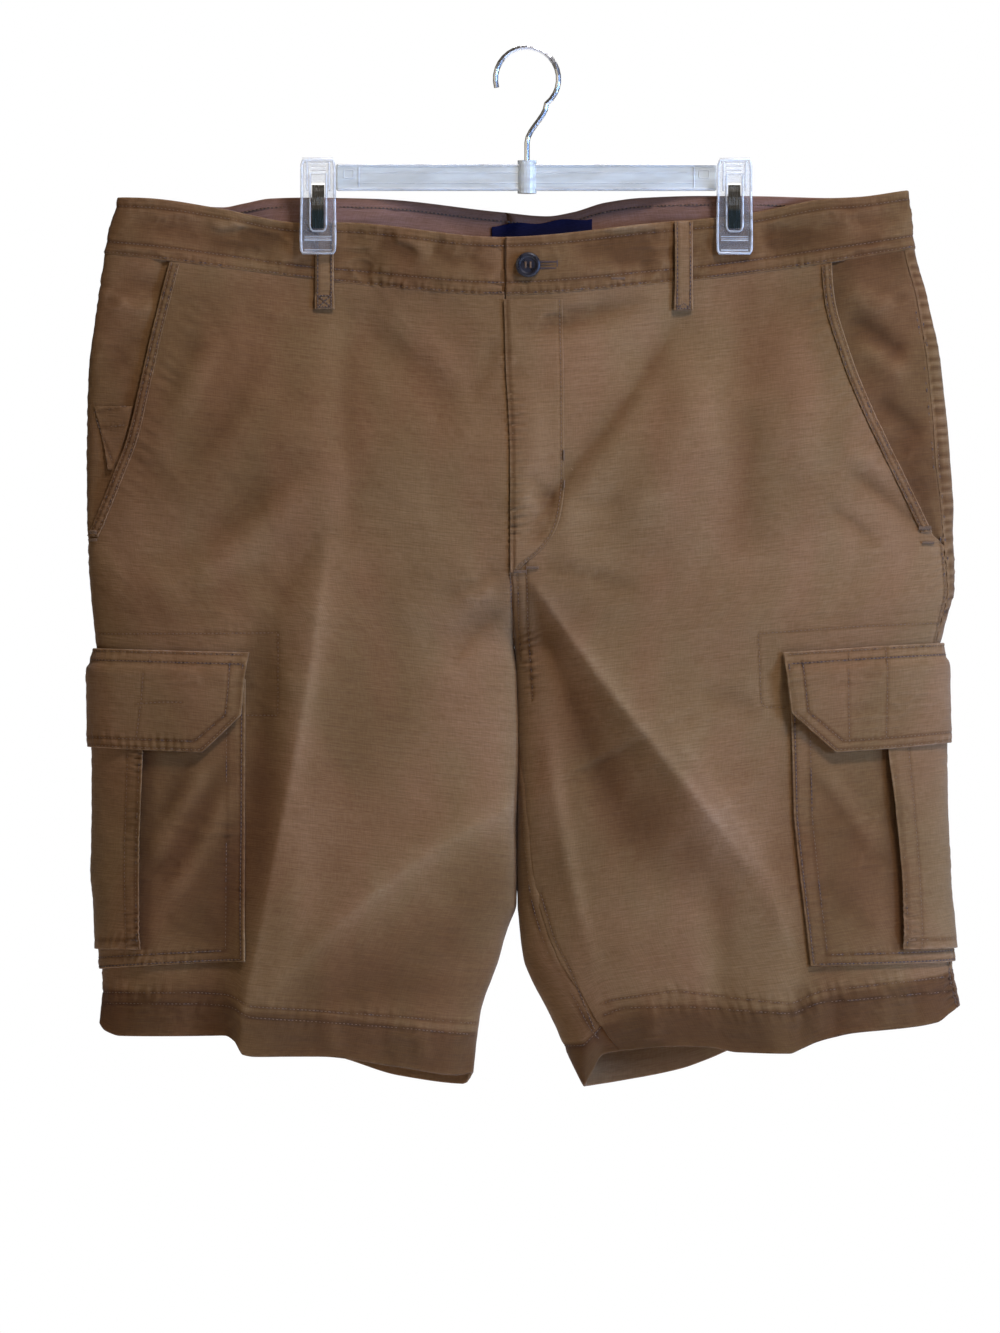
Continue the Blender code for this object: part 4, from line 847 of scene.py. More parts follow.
def cloth_at(side, turn, level):
    """Millimetres across and down the cloth from turn 0 at the waist seam."""
    turn, level = np.broadcast_arrays(np.asarray(turn, float), np.asarray(level, float))
    row = (level - ROUND_LEVELS[0]) / (ROUND_LEVELS[1] - ROUND_LEVELS[0])
    column = (turn - ROUND_TURNS[0]) / (ROUND_TURNS[1] - ROUND_TURNS[0])
    below = np.where(level < 1, level * BODY_LONG, BODY_LONG + (level - 1) * LEG_LONG)
    return read_grid(ROUND[side], row, column), np.where(level < 0, level * BAND_TALL, below)


def even_turns(side, start, end, level, count):
    """Turns from start to end at even lengths round the cloth."""
    turns = np.linspace(start, end, 240)
    across, _ = cloth_at(side, turns, np.full(turns.shape, level))
    return np.interp(np.linspace(across[0], across[-1], count), across, turns)


def row_at(side, style, x, drop, back=False):
    """A sewn row through the places that are seen at x and drop."""
    turn, level = turn_and_level(side, x, drop, back)
    return {"side": side, "style": style, "turn": turn, "level": level}


def seen_row(side, style, line):
    """A sewn row from a line on the front in chart units."""
    return row_at(side, style, *evenly(chart(line), 2.0, 4).T)


def tube_row(side, style, places):
    """A sewn row through (turn, level) places."""
    places = np.array(places, float)
    long = []
    for (turn, level), (next_turn, next_level) in zip(places[:-1], places[1:]):
        across, down = cloth_at(side, [turn, next_turn], [level, next_level])
        count = max(2, int(np.hypot(np.diff(across), np.diff(down))[0] / 2.0))
        f = np.linspace(0, 1, count + 1)[:-1]
        long += list(zip(blend(turn, next_turn, f), blend(level, next_level, f)))
    turn, level = np.array(long + [tuple(places[-1])]).T
    return {"side": side, "style": style, "turn": turn, "level": level}


def seam_row(side, style, levels, offset):
    """A sewn row beside the side seam, offset by a share of a turn."""
    return tube_row(side, style, [(float(side_turn(side, f)) + offset, f) for f in levels])


# a row's puckers are two waves: the second one's share, how fast it runs and where it starts
PUCKER_SECOND, PUCKER_SECOND_RATE, PUCKER_SECOND_START = 0.45, 2.3, 1.3
# the pucker and the groove, in millimetres, from which a row's wear and painted shade are full
FULL_PUCKER = 0.5
FULL_GROOVE = 0.5


def sewn_relief(lines, across, down):
    """From sewn lines in cloth millimetres: the relief, the painted shade of a place in a seam's ditch, and
    how rubbed it is, with painted shade in the puckers' troughs.
    """
    a, b = np.ravel(across), np.ravel(down)
    height, ditch, crest = (np.zeros(a.shape) for _ in range(3))
    for style, line in lines:
        groove, half, pucker, pitch, reach, _ = STITCH_STYLES[style]
        inside, away, along, _ = nearest(line, a, b, 2.4 * reach)
        tag = 0.13 * line[0, 0] + 0.07 * line[-1, 1]
        phase = 2 * np.pi * along / pitch + 2.6 * noise(along / 15, 0.5, tag) + 0.05 * away
        wave = np.sin(phase) + PUCKER_SECOND * np.sin(PUCKER_SECOND_RATE * phase + PUCKER_SECOND_START)
        uneven = np.clip(0.7 + 1.3 * noise(along / 24, 4.5, tag), 0.05, 1.8)
        lean = bump_at(away, reach)
        height[inside] += pucker * uneven * wave * lean - groove * bump_at(away, half)
        # lighter on the puckers' crests, as wear, and darker in their troughs, as painted shade
        crest[inside] += PUCKER_WEAR_AND_SHADE * uneven * wave * lean * min(pucker / FULL_PUCKER, 1.2)
        if groove:
            strength = min(groove / FULL_GROOVE, 1.0)
            # painted shade in the row's groove
            ditch[inside] = np.maximum(ditch[inside], bump_at(away, DITCH_HALF) * strength)
            crest[inside] += BESIDE_RUB * bump_at(np.abs(away) - BESIDE_AWAY, BESIDE_HALF) * strength
    shape = np.shape(across)
    return height.reshape(shape), ditch.reshape(shape), crest.reshape(shape)


def crumple(across, down):
    """The small unevenness of washed cotton."""
    soft = 0.85 * noise(across / 36, down / 48, 1) + 0.45 * noise(across / 16 + down / 60, down / 21, 2)
    return soft + 0.13 * noise(across / 6.5, down / 7, 3) + 0.08 * noise((across + down) / 4.2, down / 9, 4)


# where short sharp wrinkles lie on the front, in chart units: x, y, half width, half height, amount
WRINKLED = [
    (550, 318, 46, 18, 0.5), (545, 505, 26, 36, 0.4), (872, 330, 34, 46, 0.9), (128, 300, 40, 40, 0.6),
    (110, 380, 26, 60, 0.7), (905, 470, 30, 60, 0.6), (512, 350, 16, 50, 0.6), (270, 330, 70, 30, 0.3),
    (180, 590, 90, 30, 0.4), (860, 600, 80, 26, 0.4), (210, 690, 60, 40, 0.5), (860, 700, 70, 44, 0.6),
    (190, 850, 60, 100, 0.5), (870, 850, 60, 100, 0.5), (170, 1010, 90, 30, 0.5), (860, 1005, 90, 30, 0.5),
    (400, 1045, 80, 22, 0.4), (680, 1025, 90, 24, 0.5), (600, 590, 80, 26, 0.4), (470, 590, 50, 26, 0.4),
]
WRINKLE_DEPTH = 1.4
WRINKLE_SHARPNESS = 3
BAND_WRINKLED = 0.7
# where shade is painted on the front, alike: the cloth is darker there
PAINTED_SHADE_PATCHES = [
    (196, 850, 66, 140, 1.6), (268, 830, 30, 190, 1.3), (196, 1010, 80, 50, 1.4), (118, 400, 34, 130, 0.6),
    (590, 730, 34, 70, 0.9), (615, 775, 40, 60, 1.0), (645, 815, 46, 56, 1.0), (690, 850, 30, 30, 0.7),
    (400, 985, 140, 60, 1.3), (478, 900, 50, 64, 1.1), (440, 945, 70, 50, 1.3), (845, 860, 70, 130, 1.2),
    (556, 316, 60, 18, 0.4), (210, 246, 90, 16, 0.7), (800, 242, 80, 22, 1.3), (625, 256, 60, 20, 1.6),
    (440, 250, 70, 16, 0.6), (190, 380, 180, 160, 0.95), (780, 350, 60, 80, 0.45), (680, 1020, 90, 20, 2.0),
    (860, 1010, 90, 30, 0.5), (690, 1010, 100, 24, 0.4), (170, 590, 150, 60, 0.55), (918, 480, 20, 60, 0.5),
    (420, 400, 90, 150, 0.35), (735, 440, 34, 130, 0.4), (380, 720, 90, 140, 0.75), (860, 245, 70, 22, 1.2),
    (700, 250, 50, 22, 1.0), (540, 800, 24, 130, 0.3),
]
# where light is painted on the front, alike: the cloth is lighter there
PAINTED_LIGHT_PATCHES = [
    (650, 620, 90, 80, 0.8), (650, 480, 80, 110, 0.7), (730, 780, 36, 90, 0.9), (700, 700, 60, 40, 0.3),
    (800, 590, 60, 60, 0.3), (430, 700, 60, 140, 0.3), (840, 560, 80, 80, 0.2),
]
# how much darker the waistband, the hems and the insides of the slant pockets are made
BAND_DARKER = 0.7
HEM_DARKER = 1.6
FACING_DARKER = {"right": 0.1, "left": 1.0}


def spread(patches, x, drop):
    """How much of the patches' amount is at each place."""
    chart_x, chart_y = x / CHART_UNIT + CHART_ORIGIN[0], drop / CHART_UNIT + CHART_ORIGIN[1]
    total = np.zeros(np.shape(x))
    for middle_x, middle_y, half_x, half_y, most in patches:
        near = ((chart_x - middle_x) / half_x) ** 2 + ((chart_y - middle_y) / half_y) ** 2
        total = np.maximum(total, most * np.exp(-near))
    return total


# how much darker each place is made: painted shade in the darker patches, painted light in the lighter ones,
# and a darker waistband and hems
def painted_shade_and_light(x, drop, turn, level):
    total = (spread(PAINTED_SHADE_PATCHES, x, drop) - spread(PAINTED_LIGHT_PATCHES, x, drop)) * is_front(turn, level)
    total = np.maximum(total, BAND_DARKER * ease(-level / 0.03))
    hem = blend(HEM_DARKER / 2, HEM_DARKER, is_front(turn, level))
    return np.maximum(total, hem * ease((level - 2 + HEM_DEPTH_LEVEL) / 0.02))


def wrinkled(x, drop, turn, level, across, down):
    """Short sharp wrinkles, all over the waistband and here and there below it."""
    amount = spread(WRINKLED, x, drop) * is_front(turn, level)
    amount = np.maximum(amount, BAND_WRINKLED * ease(-level / 0.05) * ease((level + 1) / 0.2))
    long = 1 - np.abs(noise(across / 17 + down / 26, down / 8 - across / 60, 8))
    cross = 1 - np.abs(noise(across / 9 - down / 12, down / 13 + across / 40, 9))
    where = ease(0.5 + 1.3 * noise(across / 26, down / 15, 10))
    sharp = long ** WRINKLE_SHARPNESS + 0.6 * cross ** WRINKLE_SHARPNESS
    return WRINKLE_DEPTH * amount * where * (sharp - 0.8)


def seam_ladder_shade(side, level, across, down, drop):
    """Painted shade of the puckers, in dark bars across the strip behind the side seam, above the cargo
    pocket.
    """
    seam, _ = cloth_at(side, side_turn(side, level), level)
    behind = np.abs(across) - np.abs(seam)
    near = ease(behind / 1.5) * (1 - ease((behind - SEAM_LADDER_WIDE) / 6))
    near = near * ease(np.asarray(level) / 0.02) * (1 - ease((drop - SEAM_LADDER_END_DROP) / 12))
    wave = np.sin(2 * np.pi * down / SEAM_LADDER_PITCH + 2.6 * noise(down / 16, 0.5, 12))
    return SEAM_LADDER_SHADE * near * (np.clip(1.5 * wave, -1, 1) - 1.0)


def outward_of_grid(side, turn, level, points):
    """The outward directions of a grid of points, from the grid itself."""
    out = unit(np.cross(np.gradient(points, axis=1), np.gradient(points, axis=0)))
    i, j = turn.shape[0] // 2, turn.shape[1] // 2
    guide = outward(side, turn[i:i + 1, j], level[i:i + 1, j])[0]
    return out if np.dot(out[i, j], guide) > 0 else -out


# how far the calm reaches beside a clip and round the button, and the least that is kept of the unevenness
CLIP_CALM_FADE = 9
BUTTON_CALM, BUTTON_CALM_FADE = 9, 5
LEAST_ROUGH = 0.1


def calm(side, turn, level):
    """The share of its unevenness that the cloth keeps: little of it under the clips and the button."""
    x, drop = seen_at(side, turn, level)
    kept = np.ones(np.shape(x))
    for low, high in JAW_X.values():
        beside = ease((np.abs(x - (low + high) / 2) - (high - low) / 2 - 1) / CLIP_CALM_FADE)
        kept = np.minimum(kept, np.maximum(beside, ease((level - 0.05) / 0.12)))
    from_button = ease((np.hypot(x - BUTTON_X, drop - BUTTON_DROP) - BUTTON_CALM) / BUTTON_CALM_FADE)
    kept = np.minimum(kept, np.maximum(from_button, 1 - is_front(turn, level)))
    return LEAST_ROUGH + (1 - LEAST_ROUGH) * kept


# the lines that every piece of a side gathers along beside its side seam, in chart units
GATHERS = {
    "right": [[(200, 290), (186, 330), (166, 380), (150, 430), (136, 470), (122, 505)]],
    "left": [[(812, 290), (828, 350), (846, 400), (866, 440), (900, 500)]],
}
SEAM_LEVELS = np.linspace(0.05, 2, 14)
SHARED_ROWS = {side: [seen_row(side, "gather", line) for line in GATHERS[side]]
               + [seam_row(side, "gather", SEAM_LEVELS, 0)] for side in SIDES}


def tube_surface(side, turn, level, lift, rows, rough=1.0):
    """Points, outward directions, cloth millimetres and the painted shade in the seams' ditches, with all of
    the relief.
    """
    across, down = cloth_at(side, turn, level)
    lines = [(row["style"], np.stack(cloth_at(side, row["turn"], row["level"]), axis=1))
             for row in list(rows) + SHARED_ROWS[side]]
    relief, ditch, crest = sewn_relief(lines, across, down)
    x, drop = seen_at(side, turn, level)
    creased = wrinkled(x, drop, turn, level, across, down)
    relief = (relief + rough * crumple(across, down) + creased) * calm(side, turn, level)
    points = face(side, turn, level)
    out = outward_of_grid(side, turn, level, points) if np.ndim(turn) == 2 else outward(side, turn, level)
    points = points + out * ((np.asarray(lift) + relief) * MM)[..., None]
    # the fade mark: crests lighter as wear, hollows and wrinkle troughs darker as painted shade, painted
    # shade and light in patches, a darker waistband and hems, and the side seam ladder's painted shade
    fade = from_raster(WEAR_AND_SHADE_RASTER, x, drop, turn, level) + 0.6 * creased - painted_shade_and_light(x, drop, turn, level)
    fade = fade + seam_ladder_shade(side, level, across, down, drop)
    return {"points": points, "out": out, "across": across, "down": down, "ditch": ditch, "crest": crest,
            "fade": fade}


# ================================================================ meshes
def in_scene(name, data):
    made = bpy.data.objects.new(name, data)
    bpy.context.scene.collection.objects.link(made)
    return made


def mesh_object(name, points, faces, materials, uv=None, marks=None):
    """A mesh that belongs to the garment, smooth, with its marks for the materials to read."""
    data = bpy.data.meshes.new(name)
    data.from_pydata(np.asarray(points).tolist(), [], faces)
    data.polygons.foreach_set("use_smooth", [True] * len(data.polygons))
    if uv is not None:
        layer = data.uv_layers.new(name="cloth")
        corner = np.empty(len(data.loops), int)
        data.loops.foreach_get("vertex_index", corner)
        layer.data.foreach_set("uv", uv[corner].ravel())
    for mark, values in (marks or {}).items():
        data.attributes.new(mark, "FLOAT", "POINT").data.foreach_set("value", values)
    data.update()
    piece = in_scene(name, data)
    for material in materials:
        data.materials.append(material)
    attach(piece, "root")
    return piece


def joined(name, parts, materials):
    """One piece from parts that are each (points, faces, number of its material)."""
    points, faces, kinds, start = [], [], [], 0
    for part_points, part_faces, kind in parts:
        points.append(part_points)
        faces += (part_faces + start).tolist()
        kinds += [kind] * len(part_faces)
        start += len(part_points)
    piece = mesh_object(name, np.concatenate(points), faces, materials)
    piece.data.polygons.foreach_set("material_index", kinds)
    return piece


def grid_faces(index):
    """The four-cornered faces between the numbers of a grid's points, or of many grids' points."""
    corners = [index[..., :-1, :-1], index[..., :-1, 1:], index[..., 1:, 1:], index[..., 1:, :-1]]
    return np.stack(corners, axis=-1).reshape(-1, 4)


def border_of(rows, columns):
    """The places round a grid's border, in order."""
    border = [(0, j) for j in range(columns)]
    border += [(i, columns - 1) for i in range(1, rows)]
    border += [(rows - 1, j) for j in range(columns - 2, -1, -1)]
    return border + [(i, 0) for i in range(rows - 2, 0, -1)]


def leans_out(grid):
    """For each place of a grid's border, the unit vector that points out of the grid along the cloth."""
    away = np.zeros(grid.shape)
    for here, inner in ((0, 1), (-1, -2)):
        away[here] += unit(grid[here] - grid[inner])
        away[:, here] += unit(grid[:, here] - grid[:, inner])
    return unit(away)


def from_edges(points, worn):
    """How far each place of a grid is from the nearest of its worn edges, in millimetres."""
    rows, columns = points.shape[:2]
    i, j = np.mgrid[0:rows, 0:columns]
    down = np.linalg.norm(np.diff(points, axis=0), axis=-1).mean() / MM
    across = np.linalg.norm(np.diff(points, axis=1), axis=-1).mean() / MM
    gaps = {"top": i * down, "bottom": (rows - 1 - i) * down, "start": j * across,
            "end": (columns - 1 - j) * across}
    return np.min([np.full((rows, columns), 99.0)] + [gaps[edge] for edge in worn], axis=0)


def coarse_faces(rows, columns, stride, number):
    """The inner face's loops over every stride-th place; along the border they take in every place."""
    faces = []
    for a in range(0, rows - 1, stride):
        for b in range(0, columns - 1, stride):
            a_next, b_next = a + stride, b + stride
            top = range(b, b_next) if a == 0 else (b,)
            right = range(a, a_next) if b_next == columns - 1 else (a,)
            low = range(b_next, b, -1) if a_next == rows - 1 else (b_next,)
            left = range(a_next, a, -1) if b == 0 else (a_next,)
            loop = [number[(a, k)] for k in top] + [number[(k, b_next)] for k in right]
            loop += [number[(a_next, k)] for k in low] + [number[(k, b)] for k in left]
            faces.append(loop[::-1])
    return faces


RIM_ANGLES = (45, 90, 135, 180)
RIM_GAP = 0.15
RIM_RUB_REACH = 1.7
# how far the cloth's place runs on over a quarter turn of the rim, in metres
RIM_CLOTH = 0.0006
# how rubbed the rim's last ring is, and the angle past which the rim has the lining's colour
LAST_RING_RUB = 0.3
LINING_ANGLE = 100
ALL_EDGES = ("top", "bottom", "start", "end")


def cloth_shell(name, surface, thick, material, stride=6, worn=ALL_EDGES, bulge=0.35, lining=0.0):
    """A closed cloth wall: a fine outer face, a rounded rim and a plainer inner face."""
    outer, out = surface["points"].copy(), surface["out"]
    rows, columns = outer.shape[:2]
    thick = np.broadcast_to(np.asarray(thick, float) * MM, (rows, columns))
    away = leans_out(outer)
    under = outer - out * thick[..., None]
    border = border_of(rows, columns)
    at = tuple(np.array(border).T)
    shrink = (bulge * thick[at] + RIM_GAP * MM)[:, None]
    outer[at] = outer[at] - away[at] * shrink
    uv = np.stack([surface["across"], -surface["down"]], axis=-1) * MM
    # wear along the worn edges and on the puckers' crests, with painted shade in their troughs; the fade mark
    # holds wear and painted light and shade
    wear_and_pucker_shade = bump_at(from_edges(outer, worn), RIM_RUB_REACH) + surface.get("crest", 0.0)
    fade = np.clip(surface.get("fade", np.zeros((rows, columns))), -WEAR_SHADE_AND_LIGHT_MOST, WEAR_SHADE_AND_LIGHT_MOST)

    points, uvs = [], []
    marks = {mark: [] for mark in ("worn", "ditch", "inside", "fade")}

    def add(places, cloth, **values):
        points.append(places)
        uvs.append(cloth)
        for mark, kept in marks.items():
            kept.append(np.zeros(len(places)) + values.get(mark, 0.0))

    add(outer.reshape(-1, 3), uv.reshape(-1, 2), worn=wear_and_pucker_shade.ravel(), ditch=np.ravel(surface["ditch"]),
        fade=fade.ravel())
    for angle in RIM_ANGLES:
        turn = math.radians(angle)
        ring = outer[at] - out[at] * (thick[at] * (1 - math.cos(turn)) / 2)[:, None]
        ring = ring + away[at] * (bulge * thick[at] * math.sin(turn))[:, None]
        last = angle == RIM_ANGLES[-1]
        add(ring, uv[at] + np.array([0, RIM_CLOTH]) * angle / 90,
            worn=wear_and_pucker_shade[at] * (LAST_RING_RUB if last else 1), fade=fade[at],
            inside=float(angle > LINING_ANGLE) * lining)
    inner = np.ix_(range(stride, rows - 1, stride), range(stride, columns - 1, stride))
    add(under[inner].reshape(-1, 3), uv[inner].reshape(-1, 2), inside=lining)

    index = np.arange(rows * columns).reshape(rows, columns)
    faces = grid_faces(index).tolist()
    around = np.arange(len(border))
    rings = [index[at]] + [rows * columns + k * len(border) + around for k in range(len(RIM_ANGLES))]
    for near, far in zip(rings[:-1], rings[1:]):
        faces += np.stack([np.roll(near, -1), near, far, np.roll(far, -1)], axis=-1).tolist()
    number = dict(zip(border, rings[-1].tolist()))
    for a in range(stride, rows - 1, stride):
        for b in range(stride, columns - 1, stride):
            number[(a, b)] = rows * columns + len(RIM_ANGLES) * len(border) + len(number) - len(border)
    faces += coarse_faces(rows, columns, stride, number)
    i, j = rows // 2, columns // 2
    faces_out = np.dot(np.cross(outer[i, j + 1] - outer[i, j], outer[i + 1, j] - outer[i, j]), out[i, j]) > 0
    faces = faces if faces_out else [loop[::-1] for loop in faces]
    piece = mesh_object(name, np.concatenate(points), faces, [material], np.concatenate(uvs),
                        {mark: np.concatenate(values) for mark, values in marks.items()})

    width = np.linalg.norm(np.diff(surface["points"], axis=1), axis=2).sum(axis=1).max()
    height = np.linalg.norm(np.diff(surface["points"], axis=0), axis=2).sum(axis=0).max()
    area = np.linalg.norm(np.cross(np.diff(outer, axis=0)[:, :-1], np.diff(outer, axis=1)[:-1]), axis=2).sum()
    piece["flat"] = (float(width), float(height), min(float(area), 0.999 * width * height))
    return piece


# a narrow strip's cut counts the edge that is turned under
NARROWEST_CUT = 0.0105


def declare(piece, slot, rests_on, *nodes):
    """Hides the solids that a piece stands for. What cloth it is and what it hangs from are not used."""
    width, length, area = piece["flat"]
    width = max(width, NARROWEST_CUT)
    area = float(np.clip(area, 0.32 * width * length, 0.99 * width * length))
    if nodes:
        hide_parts(*nodes)
    return piece


# ================================================================ thread
THREAD_RADIUS = 0.30
THREAD_GAP = 0.75
THREAD_LONG = 2.0
HOLE_LONG, HOLE_WIDE = 0.8, 0.58
HOLE_RIM_LIFT, HOLE_SUNK = 0.10, 0.12
STITCH_END_WIDTH = 0.75
# a stitch's chord reaches this share of its length to each side of its middle
STITCH_REACH = 0.4
STITCH_UNEVEN = 0.12
# share of the stitch's length, height in millimetres
STITCH_ARCH = [(-0.5, -0.32), (-0.28, 0.04), (0.28, 0.04), (0.5, -0.32)]
# round the thread, as shares of its radius
STITCH_ROUND = [(-1.0, -0.4), (-0.62, 0.7), (0.62, 0.7), (1.0, -0.4)]
HOLE_RING = [(-1, 0), (-0.5, 0.85), (0.5, 0.85), (1, 0), (0.5, -0.85), (-0.5, -0.85)]
THREAD_SLOT, HOLE_SLOT = 0, 1


def stitch_mesh(centres, tangents, normals, lengths, radius=THREAD_RADIUS):
    """Short arched threads, each from one centre along one tangent. Lengths and radius in millimetres."""
    sideways = unit(np.cross(normals, tangents))
    points = np.empty((len(centres), len(STITCH_ARCH), len(STITCH_ROUND), 3))
    for k, (share, raise_by) in enumerate(STITCH_ARCH):
        middle = centres + tangents * (share * lengths * MM)[:, None] + normals * raise_by * MM
        narrow = STITCH_END_WIDTH if abs(share) == 0.5 else 1.0
        for m, (side_by, up_by) in enumerate(STITCH_ROUND):
            points[:, k, m] = middle + (sideways * side_by * narrow + normals * up_by) * radius * MM
    index = np.arange(points.size // 3).reshape(points.shape[:3])
    return points.reshape(-1, 3), grid_faces(index), THREAD_SLOT


def hole_mesh(centres, tangents, normals):
    """The needle holes that the threads go down through, as small hollows with painted shade."""
    sideways = unit(np.cross(normals, tangents))
    count = len(HOLE_RING)
    points = np.empty((len(centres), count + 1, 3))
    for k, (a, b) in enumerate(HOLE_RING):
        flat = tangents * a * HOLE_LONG + sideways * b * HOLE_WIDE
        points[:, k] = centres + (flat + normals * HOLE_RIM_LIFT) * MM
    points[:, -1] = centres - normals * HOLE_SUNK * MM
    index = np.arange(points.size // 3).reshape(points.shape[:2])
    faces = np.stack([np.stack([index[:, k], index[:, count], index[:, (k + 1) % count]], axis=-1)
                      for k in range(count)], axis=1)
    return points.reshape(-1, 3), faces.reshape(-1, 3), HOLE_SLOT


def thread_along(points, normals, length=THREAD_LONG, seed=0.0, holes=True):
    """Stitches along a line of points that lies on the cloth, and the holes between them."""
    reach = lengths_along(points) / MM
    count = int(reach[-1] / (length + THREAD_GAP))
    if count < 1:
        return []
    pitch = reach[-1] / count

    def frame_at(at):
        ahead = at_lengths(at + STITCH_REACH * length, reach, points)
        behind = at_lengths(at - STITCH_REACH * length, reach, points)
        return ahead, behind, unit(ahead - behind), unit(at_lengths(at, reach, normals))

    at = (np.arange(count) + 0.5) * pitch
    ahead, behind, tangent, normal = frame_at(at)
    lengths = length * (0.96 + STITCH_UNEVEN * noise(at / 3.1, 2.5, seed))
    made = [stitch_mesh((ahead + behind) / 2, tangent, normal, lengths)]
    at = np.arange(1, count) * pitch
    if len(at) and holes:
        made.append(hole_mesh(at_lengths(at, reach, points), *frame_at(at)[2:]))
    return made


def dense_bar(points, normals, width, pitch=0.55):
    """Threads side by side across a line, as on a bartack."""
    reach = lengths_along(points) / MM
    at = np.arange(pitch / 2, reach[-1], pitch)
    centre, normal = at_lengths(at, reach, points), at_lengths(at, reach, normals)
    across = unit(np.cross(normal, np.gradient(centre, axis=0)))
    lengths = width * (1 + STITCH_UNEVEN * noise(at * 2.1, 1.5))
    return stitch_mesh(centre + normal * 0.1 * MM, across, normal, lengths)


def sew(name, parts):
    """Joins stitches and holes into one piece."""
    return joined(name, parts, (THREAD, HOLE))


def row_threads(side, lift, rows, rough=1.0):
    """The thread of each of the rows on one tube surface. lift is a number or a function of the row."""
    made = []
    for index, row in enumerate(rows):
        length = STITCH_STYLES[row["style"]][5]
        if not length:
            continue
        height = lift(row) if callable(lift) else np.full(row["turn"].shape, float(lift))
        here = tube_surface(side, row["turn"], row["level"], height, rows, rough)
        made += thread_along(here["points"], here["out"], length, index, row["style"] != "faint")
    return made


# ================================================================ materials
def shader_of(name, colour, roughness, metallic=0.0):
    material = bpy.data.materials.new(name)
    material.use_nodes = True
    shader = material.node_tree.nodes["Principled BSDF"]
    shader.inputs["Base Color"].default_value = (*colour, 1)
    shader.inputs["Roughness"].default_value = roughness
    shader.inputs["Metallic"].default_value = metallic
    return material, shader


def add_node(tree, kind, settings=None, inputs=None):
    node = tree.nodes.new(kind)
    for key, value in (settings or {}).items():
        setattr(node, key, value)
    for key, value in (inputs or {}).items():
        if isinstance(value, bpy.types.NodeSocket):
            tree.links.new(value, node.inputs[key])
        else:
            node.inputs[key].default_value = value
    return node


def scaled(tree, vector, scale):
    node = add_node(tree, "ShaderNodeVectorMath", {"operation": "MULTIPLY"}, {0: vector, 1: scale})
    return node.outputs["Vector"]


def noise_of(tree, vector, scale, detail=1.0, rough=0.5):
    return add_node(tree, "ShaderNodeTexNoise", {"noise_dimensions": "2D"},
                    {"Vector": scaled(tree, vector, (*scale, 1)), "Scale": 1.0, "Detail": detail,
                     "Roughness": rough}).outputs["Fac"]


def ranged(tree, value, low, high, to_low=0.0, to_high=1.0):
    return add_node(tree, "ShaderNodeMapRange", None,
                    {"Value": value, "From Min": low, "From Max": high, "To Min": to_low,
                     "To Max": to_high}).outputs["Result"]


def mixed(tree, a, b, factor, blend_type="MIX"):
    node = tree.nodes.new("ShaderNodeMix")
    node.data_type = "RGBA"
    node.blend_type = blend_type
    for socket, value in ((node.inputs[6], a), (node.inputs[7], b), (node.inputs[0], factor)):
        if isinstance(value, bpy.types.NodeSocket):
            tree.links.new(value, socket)
        else:
            socket.default_value = value if socket == node.inputs[0] else (*value, 1)
    return node.outputs[2]


def arithmetic(tree, operation, first, *others):
    """One value after another joined by the same operation."""
    for other in others:
        node = add_node(tree, "ShaderNodeMath", {"operation": operation}, {0: first, 1: other})
        first = node.outputs["Value"]
    return first


def centred(tree, value, low, high):
    """The middle of a noise spread over low to high."""
    return ranged(tree, value, 0.3, 0.7, low, high)


def mark_of(tree, name):
    return add_node(tree, "ShaderNodeAttribute", {"attribute_name": name}).outputs["Fac"]


def cloth_place(tree):
    return add_node(tree, "ShaderNodeUVMap", {"uv_map": "cloth"}).outputs["UV"]


def object_noise(tree, scale, detail, stretch=None):
    place = add_node(tree, "ShaderNodeTexCoord").outputs["Object"]
    place = scaled(tree, place, stretch) if stretch else place
    return add_node(tree, "ShaderNodeTexNoise", None,
                    {"Vector": place, "Scale": scale, "Detail": detail}).outputs["Fac"]


def joined_colour(tree, red, green, blue):
    return add_node(tree, "ShaderNodeCombineColor", None, {0: red, 1: green, 2: blue}).outputs["Color"]


def dyed(tree, shader, colour, shade):
    """Gives the shader a colour, each place of it made lighter or darker by shade."""
    tree.links.new(mixed(tree, colour, shade, 1.0, "MULTIPLY"), shader.inputs["Base Color"])


def finished(tree, shader, height, strength, distance, rough_by, roughness):
    """Gives the shader a fine relief, and a roughness that goes from low to high with rough_by."""
    bump = add_node(tree, "ShaderNodeBump", None,
                    {"Height": height, "Strength": strength, "Distance": distance})
    tree.links.new(bump.outputs["Normal"], shader.inputs["Normal"])
    tree.links.new(centred(tree, rough_by, *roughness), shader.inputs["Roughness"])


def plain_material(name, colour, flow, shades, strength, distance, roughness, seen=(0.3, 0.7), metallic=0.0):
    """A material of one colour, whose shade, relief and roughness all follow one noise.

    flow makes the noise in the material's tree, and seen is the part of it that the shades are spread over.
    """
    material, shader = shader_of(name, colour, 0.5, metallic)
    tree = material.node_tree
    noise_here = flow(tree)
    shade = ranged(tree, noise_here, *seen, *shades)
    dyed(tree, shader, colour, joined_colour(tree, shade, shade, shade))
    finished(tree, shader, noise_here, strength, distance, noise_here, roughness)
    return material, shader, noise_here


